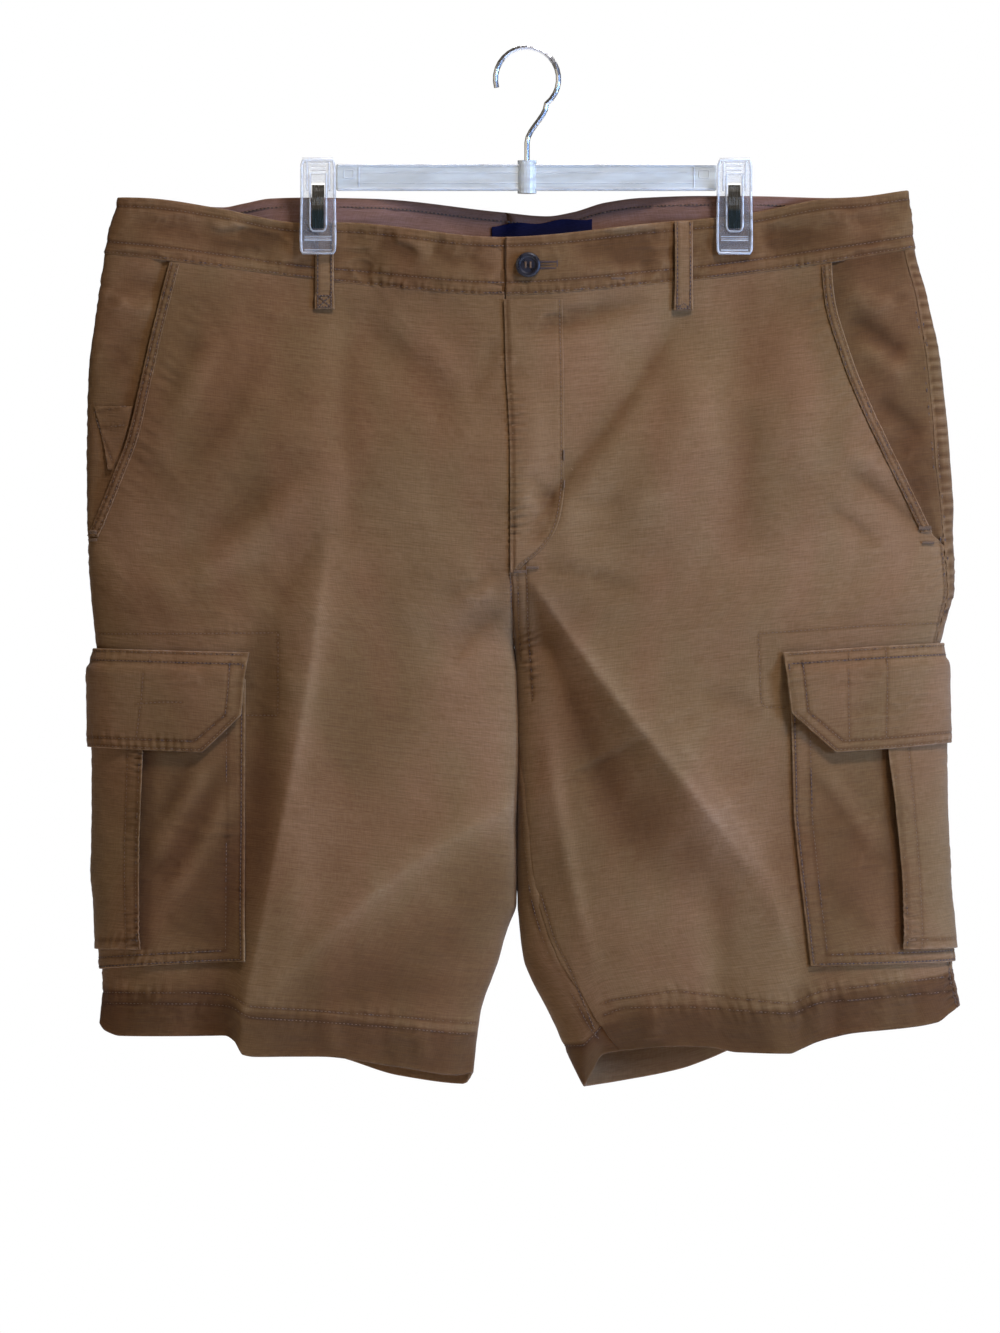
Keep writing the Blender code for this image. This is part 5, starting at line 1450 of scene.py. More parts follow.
def canvas_material(name, colour, facing, streaks=0.16):
    """Slubbed cotton: uneven weft threads, faint warp, mottled dye, rubbed edges, painted shade in the seams,
    hollows and puckers, and painted light and shade in patches.
    """
    material, shader = shader_of(name, colour, 0.92)
    tree = material.node_tree
    cloth = cloth_place(tree)
    slub = noise_of(tree, cloth, (26, 820), 2.0, 0.6)
    fine_weft = noise_of(tree, cloth, (160, 1500))
    warp = noise_of(tree, cloth, (1300, 120))
    cloudy = noise_of(tree, cloth, (14, 17), 3.0, 0.55)
    tint = noise_of(tree, cloth, (21, 9), 2.0, 0.5)

    dye = mixed(tree, np.multiply(colour, OLIVE_SIDE), np.multiply(colour, RED_SIDE),
                ranged(tree, tint, 0.36, 0.64))
    dye = mixed(tree, dye, facing, mark_of(tree, "inside"))
    weave = arithmetic(tree, "ADD", centred(tree, slub, 1 - streaks / 2, 1 + streaks / 2),
                       centred(tree, fine_weft, -0.07, 0.07), centred(tree, warp, -0.05, 0.05))
    # painted shade in the seams' ditches
    ditch = ranged(tree, mark_of(tree, "ditch"), 0.0, 1.0, 1.0, DITCH_SHADE)
    # the fade mark: wear, painted shade in hollows, creases and patches, and painted light in patches
    most = WEAR_SHADE_AND_LIGHT * WEAR_SHADE_AND_LIGHT_MOST
    fade = ranged(tree, mark_of(tree, "fade"), -WEAR_SHADE_AND_LIGHT_MOST, WEAR_SHADE_AND_LIGHT_MOST, 1 - most, 1 + most)
    # the worn mark: rubbed edges and pucker crests, with painted shade in the puckers' troughs
    rub_noise = ranged(tree, noise_of(tree, cloth, (170, 170), 2.0), 0.4, 0.62, 0.15, 1.0)
    rubbed = arithmetic(tree, "MULTIPLY", mark_of(tree, "worn"), rub_noise)
    value = arithmetic(tree, "MULTIPLY", centred(tree, cloudy, 0.94, 1.06), weave, ditch, fade,
                       ranged(tree, rubbed, -0.5, 1.0, 0.84, 1.32))
    # the darker a place is made, the browner it is, as painted shade on this cloth is; where it is lighter,
    # it turns greyer
    shade = joined_colour(tree, value, arithmetic(tree, "POWER", value, GREEN_POWER),
                          arithmetic(tree, "POWER", value, BLUE_POWER))
    dyed(tree, shader, dye, shade)

    relief = arithmetic(tree, "ADD", arithmetic(tree, "MULTIPLY", slub, 0.55),
                        arithmetic(tree, "MULTIPLY", fine_weft, 0.3),
                        arithmetic(tree, "MULTIPLY", warp, 0.25))
    finished(tree, shader, relief, 0.55, 0.0004, slub, (0.86, 0.98))
    shader.inputs["Sheen Weight"].default_value = 0.08
    shader.inputs["Sheen Roughness"].default_value = 0.5
    shader.inputs["Specular IOR Level"].default_value = 0.18
    return material


def thread_material(name, colour):
    return plain_material(name, colour, lambda tree: object_noise(tree, 900.0, 1.0), (0.82, 1.18),
                          0.5, 0.0001, (0.6, 0.8))[0]


def label_material():
    """A close satin weave, dark and bare."""
    material, shader, _ = plain_material(
        "bare_label", LABEL_COLOUR, lambda tree: noise_of(tree, cloth_place(tree), (300, 2600)),
        (0.75, 1.3), 0.4, 0.0002, (0.5, 0.7))
    shader.inputs["Specular IOR Level"].default_value = 0.03
    return material


def button_material():
    """Slate resin, slightly clouded."""
    return plain_material("slate_resin", BUTTON_COLOUR, lambda tree: object_noise(tree, 260.0, 3.0),
                          (0.7, 1.5), 0.15, 0.0003, (0.22, 0.42), seen=(0.35, 0.65))[0]


def clear_material(name, colour, alpha):
    """Moulded clear plastic: faint where it is faced squarely and fuller along its edges."""
    material, shader, flow = plain_material(
        name, colour, lambda tree: object_noise(tree, 1.0, 2.0, (26, 90, 170)), (0.86, 1.08), 0.35, 0.0006,
        (0.08, 0.2), seen=(0.35, 0.65))
    tree = material.node_tree
    edge = add_node(tree, "ShaderNodeLayerWeight", None, {"Blend": 0.32}).outputs["Facing"]
    cover = ranged(tree, edge, 0.0, 0.75, alpha, min(alpha + 0.5, 0.96))
    cover = arithmetic(tree, "MULTIPLY", cover, ranged(tree, flow, 0.35, 0.65, 0.82, 1.12))
    tree.links.new(cover, shader.inputs["Alpha"])
    shader.inputs["Specular IOR Level"].default_value = 0.8
    shader.inputs["Coat Weight"].default_value = 0.6
    shader.inputs["Coat Roughness"].default_value = 0.05
    return material


def steel_material(name, colour, low_colour, low_z, high_z):
    """Spring steel, blued towards its foot."""
    material, shader = shader_of(name, colour, 0.22, 1.0)
    tree = material.node_tree
    place = add_node(tree, "ShaderNodeTexCoord").outputs["Object"]
    height = add_node(tree, "ShaderNodeSeparateXYZ", None, {0: place}).outputs["Z"]
    tree.links.new(mixed(tree, low_colour, colour, ranged(tree, height, low_z, high_z)),
                   shader.inputs["Base Color"])
    brushed = object_noise(tree, 1.0, 2.0, (2600, 300, 60))
    finished(tree, shader, brushed, 0.2, 0.0002, brushed, (0.14, 0.3))
    return material


# shares of the canvas's colour at the two ends of its uneven dye
RED_SIDE = (1.04, 0.98, 1.0)
OLIVE_SIDE = (0.97, 0.995, 0.96)
# how dark the painted shade in a row's ditch is
DITCH_SHADE = 0.52
GREEN_POWER, BLUE_POWER = 1.34, 2.05
CANVAS_COLOUR = (0.149, 0.079, 0.0315)
FACING_COLOUR = (0.152, 0.076, 0.050)
THREAD_COLOUR = (0.112, 0.058, 0.024)
# painted shade for the needle holes, which the buttonhole's stitches take too
HOLE_COLOUR = (0.040, 0.017, 0.009)
LABEL_COLOUR = (0.006, 0.0065, 0.026)
BUTTON_COLOUR = (0.009, 0.008, 0.011)
CLEAR_COLOUR = (0.56, 0.56, 0.55)
CLEAR_BAR_COLOUR = (0.52, 0.54, 0.51)
# lighter than the walls: a painted highlight for the ribs of the clear plastic
CLEAR_RIB_HIGHLIGHT_COLOUR = (0.74, 0.74, 0.72)
STEEL_COLOUR = (0.36, 0.35, 0.31)
BLUED_COLOUR = (0.13, 0.20, 0.25)
WIRE_COLOUR = (0.62, 0.62, 0.63)

CANVAS = canvas_material("brown_canvas", CANVAS_COLOUR, FACING_COLOUR)
THREAD = thread_material("sewing_thread", THREAD_COLOUR)
HOLE = thread_material("needle_holes", HOLE_COLOUR)
LABEL = label_material()


# ================================================================ panels
FINE = 1.5
BACK_FINE = 3.0
BACK_WIDE = 310
COARSE_STRIDE = 3
HEM_ROW_LEVELS = (1.905, 1.878)
# how far the side seam's rows are from it, in turns
SIDE_ROW_TURN = 0.012
CENTRE_BACK_ROWS = (2.0, 8.5)
# how far a panel goes under the waistband and the back panel, and how deep
TUCK_LEVEL = -0.08
TUCK_TURN = 0.014
TUCK_DEPTH = 0.5
UNDER_BACK_DEPTH = 1.0


def whole(count, stride=6):
    """A number of divisions that the inner face's stride goes into."""
    return stride * max(2, int(round(count / stride)))


def back_rows(side):
    """Every sewn row on a back panel: the hem's, the side seam's, the centre seam's and the inseam's."""
    hem_end = 2 + float(INSEAM[side][-1][1])
    rows = [tube_row(side, "hem", [(float(side_turn(side, f)) + 0.01, f), (hem_end, f)])
            for f in HEM_ROW_LEVELS]
    rows.append(seam_row(side, "side", SEAM_LEVELS, SIDE_ROW_TURN))
    drops = np.linspace(158, 408, 20)
    for offset in CENTRE_BACK_ROWS:
        x = smooth(CENTRE_SEAM, drops) + (offset if side == "left" else -offset)
        rows.append(row_at(side, "hem", x, drops, True))
    places = [(2 + float(straight(INSEAM[side], f)) - 0.02, f) for f in np.linspace(1.15, 2, 12)]
    return rows + [tube_row(side, "edge", places)]


def tucked(side, turn, level):
    """How far a panel sinks where its edge goes under the waistband or the back panel."""
    under_back = ease((turn - side_turn(side, level) + 0.004) / 0.008) * (turn < 1.5)
    return -TUCK_DEPTH * ease(-level / 0.04) - UNDER_BACK_DEPTH * under_back


def panel_grid(side, starts, ends, levels, columns):
    """Turns and levels of a grid whose rows run at even steps of the cloth from starts to ends."""
    turn = np.stack([even_turns(side, a, b, f, columns) for a, b, f in zip(starts, ends, levels)])
    return turn, np.broadcast_to(levels[:, None], turn.shape)


def panel_cloth(level):
    return blend(CLOTH, HEM_CLOTH, ease((level - (2 - HEM_DEPTH_LEVEL)) / 0.02))


def make_panel(face_name, side, turn, level, lift, rows, stride):
    surface = tube_surface(side, turn, level, lift, rows)
    piece = cloth_shell(f"{face_name}_panel_{side}", surface, panel_cloth(level), CANVAS, stride,
                        worn=("bottom",))
    declare(piece, "twill", ["waistband_cloth"], f"{face_name}_{side}")
    sew(f"{face_name}_stitching_{side}", row_threads(side, 0.0, rows))


def make_front(side):
    levels = np.linspace(TUCK_LEVEL, 2, whole((BODY_LONG + LEG_LONG) / FINE) + 1)
    starts = straight(INSEAM[side], levels)
    ends = np.where(levels < slant_end(side), slant_turn(side, levels), side_turn(side, levels) + TUCK_TURN)
    middle = np.searchsorted(levels, 0.9)
    across, _ = cloth_at(side, [starts[middle], ends[middle]], levels[middle])
    turn, level = panel_grid(side, starts, ends, levels, whole(np.ptp(across) / FINE) + 1)
    rows = [seen_row(side, style, line) for style, line in FRONT_ROWS[side]]
    if side == "left":
        rows.append(seam_row(side, "side", SEAM_LEVELS, -SIDE_ROW_TURN))
    make_panel("front", side, turn, level, tucked(side, turn, level), rows, 6)


def make_back(side):
    levels = np.linspace(TUCK_LEVEL, 2, whole((BODY_LONG + LEG_LONG) / BACK_FINE, COARSE_STRIDE) + 1)
    ends = 2 + straight(INSEAM[side], levels) + 0.012 * ease((levels - 1) / 0.05)
    turn, level = panel_grid(side, side_turn(side, levels), ends, levels,
                             whole(BACK_WIDE / BACK_FINE, COARSE_STRIDE) + 1)
    under_front = ease((turn - 2 - straight(INSEAM[side], level)) / 0.01)
    lift = -TUCK_DEPTH * ease(-level / 0.04) - 0.9 * under_front
    make_panel("back", side, turn, level, lift, back_rows(side), COARSE_STRIDE)


def slant_levels(side, last, count, first=0.0025):
    return np.linspace(first, slant_end(side) - last, count)


def make_facing(side):
    levels = slant_levels(side, -0.04, whole(200 / 2.0, COARSE_STRIDE) + 1, TUCK_LEVEL)
    opening = slant_turn(side, levels)
    seam = side_turn(side, levels) + TUCK_TURN
    share = np.linspace(0, 1, whole(24, COARSE_STRIDE) + 1)
    turn = blend((opening - FACING_UNDER_TURN)[:, None], seam[:, None], share[None, :])
    level = np.broadcast_to(levels[:, None], turn.shape)
    rise = 2 + 4 * ease(1 - level / 0.12)
    sunk = -FACING_SUNK * (1 - ease(rise * (turn - opening[:, None]) / (seam - opening)[:, None]))
    sunk = sunk + tucked(side, turn, level)
    rows = [tube_row(side, "gather", [(float(a) + 0.012, float(f)) for a, f in zip(opening, levels)][::8])]
    surface = tube_surface(side, turn, level, sunk, rows)
    # the inside of the slant pocket is made darker
    surface["fade"] = surface["fade"] - FACING_DARKER[side]
    piece = cloth_shell(f"pocket_inside_{side}", surface, CLOTH, CANVAS, COARSE_STRIDE, worn=())
    declare(piece, "twill", [f"front_panel_{side}"], f"pocket_facing_{side}")


BINDING_COLUMNS = 13
BINDING_ROWS = (0.2, 0.72)
BINDING_CROWN = 0.35


def make_binding(side):
    """The folded edge of the slant pocket, sewn down with two rows and a bartack at its foot."""
    levels = slant_levels(side, 0.04, whole(200 / FINE, COARSE_STRIDE) + 1)
    opening = slant_turn(side, levels)
    x, drop = seen_at(side, opening, levels)
    inwards = BINDING_WIDTH if side == "right" else -BINDING_WIDTH
    inner = np.minimum(turn_and_level(side, x + inwards, drop)[0], opening - 0.012)
    share = np.linspace(0, 1, BINDING_COLUMNS)
    turn = blend(inner[:, None], opening[:, None], share[None, :])
    level = np.broadcast_to(levels[:, None], turn.shape)
    crown = BINDING_LIFT + BINDING_CLOTH + BINDING_CROWN * np.sin(np.pi * share) - 0.1
    rows = [tube_row(side, "pocket", list(zip(blend(inner, opening, at)[::4], levels[::4])))
            for at in BINDING_ROWS]
    surface = tube_surface(side, turn, level, np.broadcast_to(crown, turn.shape), rows)
    piece = cloth_shell(f"pocket_edge_{side}", surface, BINDING_CLOTH, CANVAS, COARSE_STRIDE,
                        worn=("start", "end"))
    declare(piece, "binding", [f"front_panel_{side}"], f"pocket_binding_{side}")
    height = BINDING_LIFT + BINDING_CLOTH + 0.1
    foot = levels[-1] - 0.012
    middle = float(np.interp(foot, levels, (inner + opening) / 2))
    line = tube_row(side, "edge", [(middle - 0.018, foot), (middle + 0.018, foot)])
    here = tube_surface(side, line["turn"], line["level"], height + 0.2, [])
    bartack = dense_bar(here["points"], here["out"], 2.7)
    sew(f"pocket_edge_stitching_{side}", row_threads(side, height, rows) + [bartack])


COIN_ROWS = [[(93, 413), (110, 409.5), (127, 406.5)], [(98, 428), (112, 427), (126, 425.5)],
             [(96, 418), (104, 440), (113, 462)]]


def make_coin_pocket():
    side = "right"
    drop, x_out, x_in = np.array(COIN_POCKET).T
    drops = np.interp(np.linspace(0, 1, 25), np.linspace(0, 1, len(drop)), drop)
    outs, ins = np.interp(drops, drop, x_out), np.interp(drops, drop, x_in)
    share = np.linspace(0, 1, 19)[None, :]
    turn, level = turn_and_level(side, blend(outs[:, None], ins[:, None], share), drops[:, None])
    lift = np.broadcast_to(np.interp(share, (0, 0.5, 1), COIN_LIFT) + COIN_CLOTH, turn.shape)
    rows = [seen_row(side, "edge", line) for line in COIN_ROWS]
    surface = tube_surface(side, turn, level, lift, rows)
    piece = cloth_shell("coin_pocket_cloth", surface, COIN_CLOTH, CANVAS, COARSE_STRIDE,
                        worn=("top", "start"))
    declare(piece, "twill", ["pocket_inside_right"], "coin_pocket")
    sew("coin_pocket_stitching", row_threads(side, 0.4, rows))


# ================================================================ cargo pockets
def patch_row(side, style, turn, level, places):
    """A row through (share across, share down) places of a patch's grid."""
    line = evenly([(a * (turn.shape[1] - 1), b * (turn.shape[0] - 1)) for a, b in places], 1.2)
    turn, level = (read_grid(grid, line[:, 1], line[:, 0]) for grid in (turn, level))
    return {"side": side, "style": style, "turn": turn, "level": level}


POCKET_CREASES = {
    # height, half width, line in chart units
    "right": [(-1.5, 8.0, [(231, 752), (201, 804), (172, 850), (149, 884)]),
              (2.6, 8.0, [(216, 750), (186, 806), (160, 852), (148, 870)]),
              (2.2, 7.0, [(240, 770), (214, 830), (186, 878), (156, 912)]),
              (-1.3, 5.0, [(196, 752), (176, 790), (156, 826)]),
              (-1.4, 6.0, [(160, 912), (190, 928), (228, 936)]),
              (-0.9, 4.0, [(92, 848), (112, 876), (130, 905)]),
              (1.0, 4.0, [(100, 840), (120, 868), (136, 892)])],
    "left": [(-1.6, 6.0, [(800, 765), (830, 800), (868, 860)]),
             (1.8, 8.0, [(812, 760), (850, 812), (880, 850)]),
             (-1.2, 6.0, [(815, 870), (845, 905), (880, 935)]),
             (1.1, 5.0, [(905, 790), (925, 830), (940, 880)]),
             (-1.4, 5.0, [(905, 772), (922, 766), (942, 782)]),
             (1.2, 5.0, [(906, 790), (924, 784), (944, 800)])],
}
POCKET_CREASE_GAIN = 0.75
POCKET_WIDE, POCKET_TALL = 205.0, 198.0
POCKET_ROWS = (1.6, 8.0)
# how much a pocket's creases may sink it, and how much the cloth along them is rubbed on their crests and
# given painted shade in their hollows
POCKET_SINK = 0.6
POCKET_CREASE_WEAR_AND_SHADE = 0.4
# painted shade on the bag beside the pleat's front edge: how dark, and how wide
PLEAT_SHADE, PLEAT_SHADE_WIDTH = 1.2, 7.0
PLEAT_BOW = 2.6


def pocket_folds(side, turn, level):
    """Creases that only the pocket has."""
    x, drop = seen_at(side, turn, level)
    total = np.zeros(np.size(x))
    front = np.ravel(np.asarray(turn) < 1.0)
    for height, width, line in POCKET_CREASES[side]:
        points = evenly(chart(line), 6.0, 2)
        inside, away, along, length = nearest(points, np.ravel(x), np.ravel(drop), 3 * width)
        form = crease_form("crisp" if height < 0 else "soft", away, width, width)
        ends = faded_ends(along / length, 0.25)
        total[inside] += POCKET_CREASE_GAIN * height * ends * form * front[inside]
    return total.reshape(np.shape(x))


def make_cargo_pocket(side):
    shape = POCKET[side]
    turn, level, _ = wrapped_patch(
        side, shape, whole(POCKET_WIDE / FINE), whole(POCKET_TALL / FINE),
        lambda share: np.full(share.shape, float(shape["top"])), lambda share: smooth(shape["bottom"], share))
    lines = []
    for inset in POCKET_ROWS:
        a, b = inset / POCKET_WIDE, 1 - inset / POCKET_TALL
        for ends in ([(a, 0.1), (a, b)], [(a, b), (1 - a, b)], [(1 - a, b), (1 - a, 0.1)]):
            lines.append(patch_row(side, "pocket", turn, level, ends))
    creased = pocket_folds(side, turn, level)
    lift = POCKET_LIFT + POCKET_CLOTH + np.maximum(creased, -POCKET_SINK)
    surface = tube_surface(side, turn, level, lift, lines, 0.8)
    x, drop = seen_at(side, turn, level)
    shade = PLEAT_SHADE * bump_at(x - smooth(PLEAT[side][0], drop), PLEAT_SHADE_WIDTH)
    beside_pleat = (drop > PLEAT_TOP_DROP) & (drop < PLEAT_BOTTOM_DROP[side]) & (turn < 1)
    # wear on the creases' crests, painted shade in their hollows and beside the pleat's edge
    surface["fade"] = surface["fade"] + POCKET_CREASE_WEAR_AND_SHADE * creased - shade * beside_pleat
    # thicker than the solid's wall, so that its plainer inner face stays behind the creases
    piece = cloth_shell(f"cargo_bag_{side}", surface, POCKET_CLOTH + 0.7, CANVAS,
                        worn=("start", "end", "bottom"))
    declare(piece, "twill", [f"front_panel_{side}", f"back_panel_{side}"], f"cargo_pocket_{side}")
    sew(f"cargo_stitching_{side}", row_threads(side, POCKET_LIFT + POCKET_CLOTH + 0.2, lines, 0.8))


def make_cargo_pleat(side):
    front_edge, back_turn = PLEAT[side]
    top, bottom = PLEAT_TOP_DROP, PLEAT_BOTTOM_DROP[side]
    drop = np.linspace(top, bottom, whole(150 / FINE, COARSE_STRIDE) + 1)[:, None]
    front_turn, _ = turn_and_level(side, smooth(front_edge, drop), drop)
    share = np.linspace(0, 1, whole(48, COARSE_STRIDE) + 1)[None, :]
    turn = blend(front_turn, back_turn, share)
    level = level_of(side, turn, drop)

    def pleat_lift(share, drop):
        """The pleat stands open along its front edge."""
        bow = PLEAT_BOW * np.exp(-share / 0.22) * ease((drop - top) / 12)
        bow = bow * ease((bottom - drop) / 14) * (1 + 0.5 * noise(drop / 18, 0.5, 3))
        return POCKET_LIFT + POCKET_CLOTH + PLEAT_LIFT + PLEAT_CLOTH + bow

    def row_lift(row):
        _, drop = seen_at(side, row["turn"], row["level"])
        first, _ = turn_and_level(side, smooth(front_edge, drop), drop)
        return pleat_lift((row["turn"] - first) / (back_turn - first), drop)

    rows = [patch_row(side, style, turn, level, ends) for style, ends in (
        ("side", [(0.03, 0.0), (0.03, 1.0)]), ("faint", [(0.14, 0.0), (0.14, 1.0)]),
        ("pocket", [(0.0, 0.955), (1.0, 0.955)]), ("pocket", [(0.97, 0.0), (0.97, 1.0)]))]
    surface = tube_surface(side, turn, level, pleat_lift(share, drop), rows, 0.9)
    piece = cloth_shell(f"cargo_pleat_cloth_{side}", surface, PLEAT_CLOTH, CANVAS, COARSE_STRIDE)
    declare(piece, "twill", [f"cargo_bag_{side}"], f"cargo_pleat_{side}")
    sew(f"cargo_pleat_stitching_{side}", row_threads(side, row_lift, rows, 0.9))


FLAP_CORNER = 0.63
FLAP_WIDE, FLAP_TALL = 212.0, 70.0
FLAP_FINE = 1.2
FLAP_EDGE_ROWS = (1.7, 7.4)
FLAP_TOP_ROWS = (2.0, 8.4)
# the roll under the flap's top rows: depth, how far down, half width
FLAP_ROLL = (0.8, 10.5, 1.6)
FLAP_SEEN_ROWS = {
    "right": [[(153, 653), (153, 663)], [(148, 672), (146, 700), (141, 738)],
              [(141, 704), (162, 702), (186, 702)]],
    "left": [[(846, 652), (846, 661)], [(845, 668), (845, 700), (846, 742)],
             [(883, 648), (883, 690), (882, 738)]],
}


def flap_lift(down):
    return blend(FLAP_LIFT_TOP, FLAP_LIFT_LOW, ease(down / FLAP_RISE)) + FLAP_CLOTH


def make_cargo_flap(side):
    shape = FLAP[side]
    turn, level, down = wrapped_patch(
        side, shape, whole(FLAP_WIDE / FLAP_FINE), whole(FLAP_TALL / FLAP_FINE),
        lambda share: smooth(shape["top"], share), lambda share: smooth(shape["bottom"], share))
    lines = []
    for inset in FLAP_EDGE_ROWS:
        a, b, slant = inset / FLAP_WIDE, 1 - inset / FLAP_TALL, 1.35 * inset / FLAP_WIDE
        lines.append(patch_row(side, "pocket", turn, level, [
            (a, 0.1), (a, FLAP_CORNER), (slant, b), (1 - slant, b), (1 - a, FLAP_CORNER), (1 - a, 0.1)]))
    for inset in FLAP_TOP_ROWS:
        b = inset / FLAP_TALL
        lines.append(patch_row(side, "edge", turn, level, [(0.01, b), (0.99, b)]))
    lines += [seen_row(side, "faint", line) for line in FLAP_SEEN_ROWS[side]]
    depth, middle, half = FLAP_ROLL
    roll = -depth * bump_at(down * FLAP_TALL - middle, half)
    surface = tube_surface(side, turn, level, flap_lift(down) + roll, lines, 0.9)
    piece = cloth_shell(f"cargo_flap_cloth_{side}", surface, FLAP_CLOTH, CANVAS, bulge=0.42)
    declare(piece, "twill", [f"front_panel_{side}", f"back_panel_{side}"], f"cargo_flap_{side}")

    def lift_of(row):
        _, drop = seen_at(side, row["turn"], row["level"])
        top = smooth(shape["top"], np.clip((row["turn"] - turn.min()) / np.ptp(turn), 0, 1))
        return flap_lift(np.clip((drop - top) / FLAP_TALL, 0, 1))

    sew(f"cargo_flap_stitching_{side}", row_threads(side, lift_of, lines, 0.9))


# ================================================================ waist
# style, level
BAND_ROWS = (("band", -0.845), ("band", -0.225), ("edge", -0.05))
BAND_DIVISIONS = 30
BAND_STATIONS = 421
RAMP_STATIONS = 14
UNDERLAP_STATIONS = 28


def band_stations():
    """Places along the strip, from the free end at the centre front round the back to the underlap's end.

    Each is a side, a turn and how far it lies off the waist, in millimetres.
    """
    centre = float(smooth(CENTRE_SEAM, 150))
    under_turn = float(turn_and_level("left", centre + UNDERLAP, 150)[0])
    ramp_turn = float(turn_and_level("right", centre - UNDERLAP_RAMP, 150)[0])
    stations = [("left", turn, 0.0) for turn in even_turns("left", 0, 2, -0.5, BAND_STATIONS)]
    stations += [("right", turn, 0.0) for turn in even_turns("right", 0, 2, -0.5, BAND_STATIONS)[::-1][1:]
                 if turn > ramp_turn]
    stations += [("right", blend(ramp_turn, 0.0, f), -UNDERLAP_SUNK * float(ease(f)))
                 for f in np.linspace(0, 1, RAMP_STATIONS)]
    stations += [("left", blend(0.0, under_turn, f), -UNDERLAP_SUNK)
                 for f in np.linspace(0, 1, UNDERLAP_STATIONS)[1:]]
    spare = (len(stations) - 1) % COARSE_STRIDE
    return stations[:len(stations) - spare]


def make_waistband():
    stations = band_stations()
    levels = np.linspace(-1, 0, BAND_DIVISIONS + 1)
    rows = {side: [tube_row(side, style, [(0.002, f), (1, f), (1.998, f)]) for style, f in BAND_ROWS]
            for side in SIDES}
    shape = (len(levels), len(stations))
    surface = {key: np.zeros(shape + (3,)) for key in ("points", "out")}
    surface |= {key: np.zeros(shape) for key in ("across", "down", "ditch", "crest", "fade")}
    for side in SIDES:
        mine = [k for k, station in enumerate(stations) if station[0] == side]
        turn = np.array([stations[k][1] for k in mine])[None, :]
        sunk = np.array([stations[k][2] for k in mine])[None, :]
        turn, level, sunk = np.broadcast_arrays(turn, levels[:, None], sunk)
        part = tube_surface(side, turn, level, BAND_PROUD + sunk, rows[side])
        sign = 1 if side == "left" else -1
        for key in surface:
            surface[key][:, mine] = part[key] * (sign if key == "across" else 1)
    piece = cloth_shell("waistband_cloth", surface, BAND_CLOTH, CANVAS, COARSE_STRIDE, worn=("top", "start"),
                        bulge=0.4, lining=1.0)
    declare(piece, "twill", ["clip_jaw_front_right", "clip_jaw_back_right", "clip_jaw_front_left",
                             "clip_jaw_back_left"], "waistband")
    threads = []
    for side in SIDES:
        threads += row_threads(side, BAND_PROUD + 0.05, rows[side])
    # the top row shows on the facing too, behind the front's neck
    level = BAND_ROWS[0][1]
    for side in SIDES:
        inner = tube_row(side, "band", [(1.04, level), (1.5, level), (1.998, level)])
        here = tube_surface(side, inner["turn"], inner["level"], BAND_PROUD, rows[side])
        points = here["points"] - here["out"] * (BAND_CLOTH - 0.1) * MM
        threads += thread_along(points, -here["out"])
    sew("waistband_stitching", threads)


def raised(x, drop, back):
    """Points of the outer face at x and drop, and the directions out of it."""
    base = placed(x, drop, back, 0.0)
    return base, unit(placed(x, drop, back, 1.0) - base)


def raised_line(line, lift):
    """A line of (x, drop) points on the front at a lift in millimetres, and the directions out of it."""
    base, out = raised(line[:, 0], line[:, 1], False)
    return base + out * lift * MM, out


def flat_surface(x, drop, back, lift, lines, rough=0.5):
    """A surface for a piece that is laid out by x and drop. Its lines are in the same millimetres."""
    x, drop = np.broadcast_arrays(x, drop)
    base, out = raised(x, drop, back)
    relief, ditch, crest = sewn_relief(lines, x, drop)
    relief = relief + rough * crumple(x * 1.7 + 90, drop * 1.7)
    points = base + out * ((lift + relief) * MM)[..., None]
    return {"points": points, "out": out, "across": x, "down": drop, "ditch": ditch, "crest": crest}


LOOP_PROUD = BAND_PROUD + LOOP_LIFT + LOOP_CLOTH
# how far its rows are from its middle, and how much wider its folded foot is
LOOP_ROW = 4.6
LOOP_FOOT_WIDER = 0.07
# the dip over the foot: depth, how far down, half width
LOOP_DIP = (0.45, 0.81, 0.03)
LOOP_TACK_LONG = 1.3


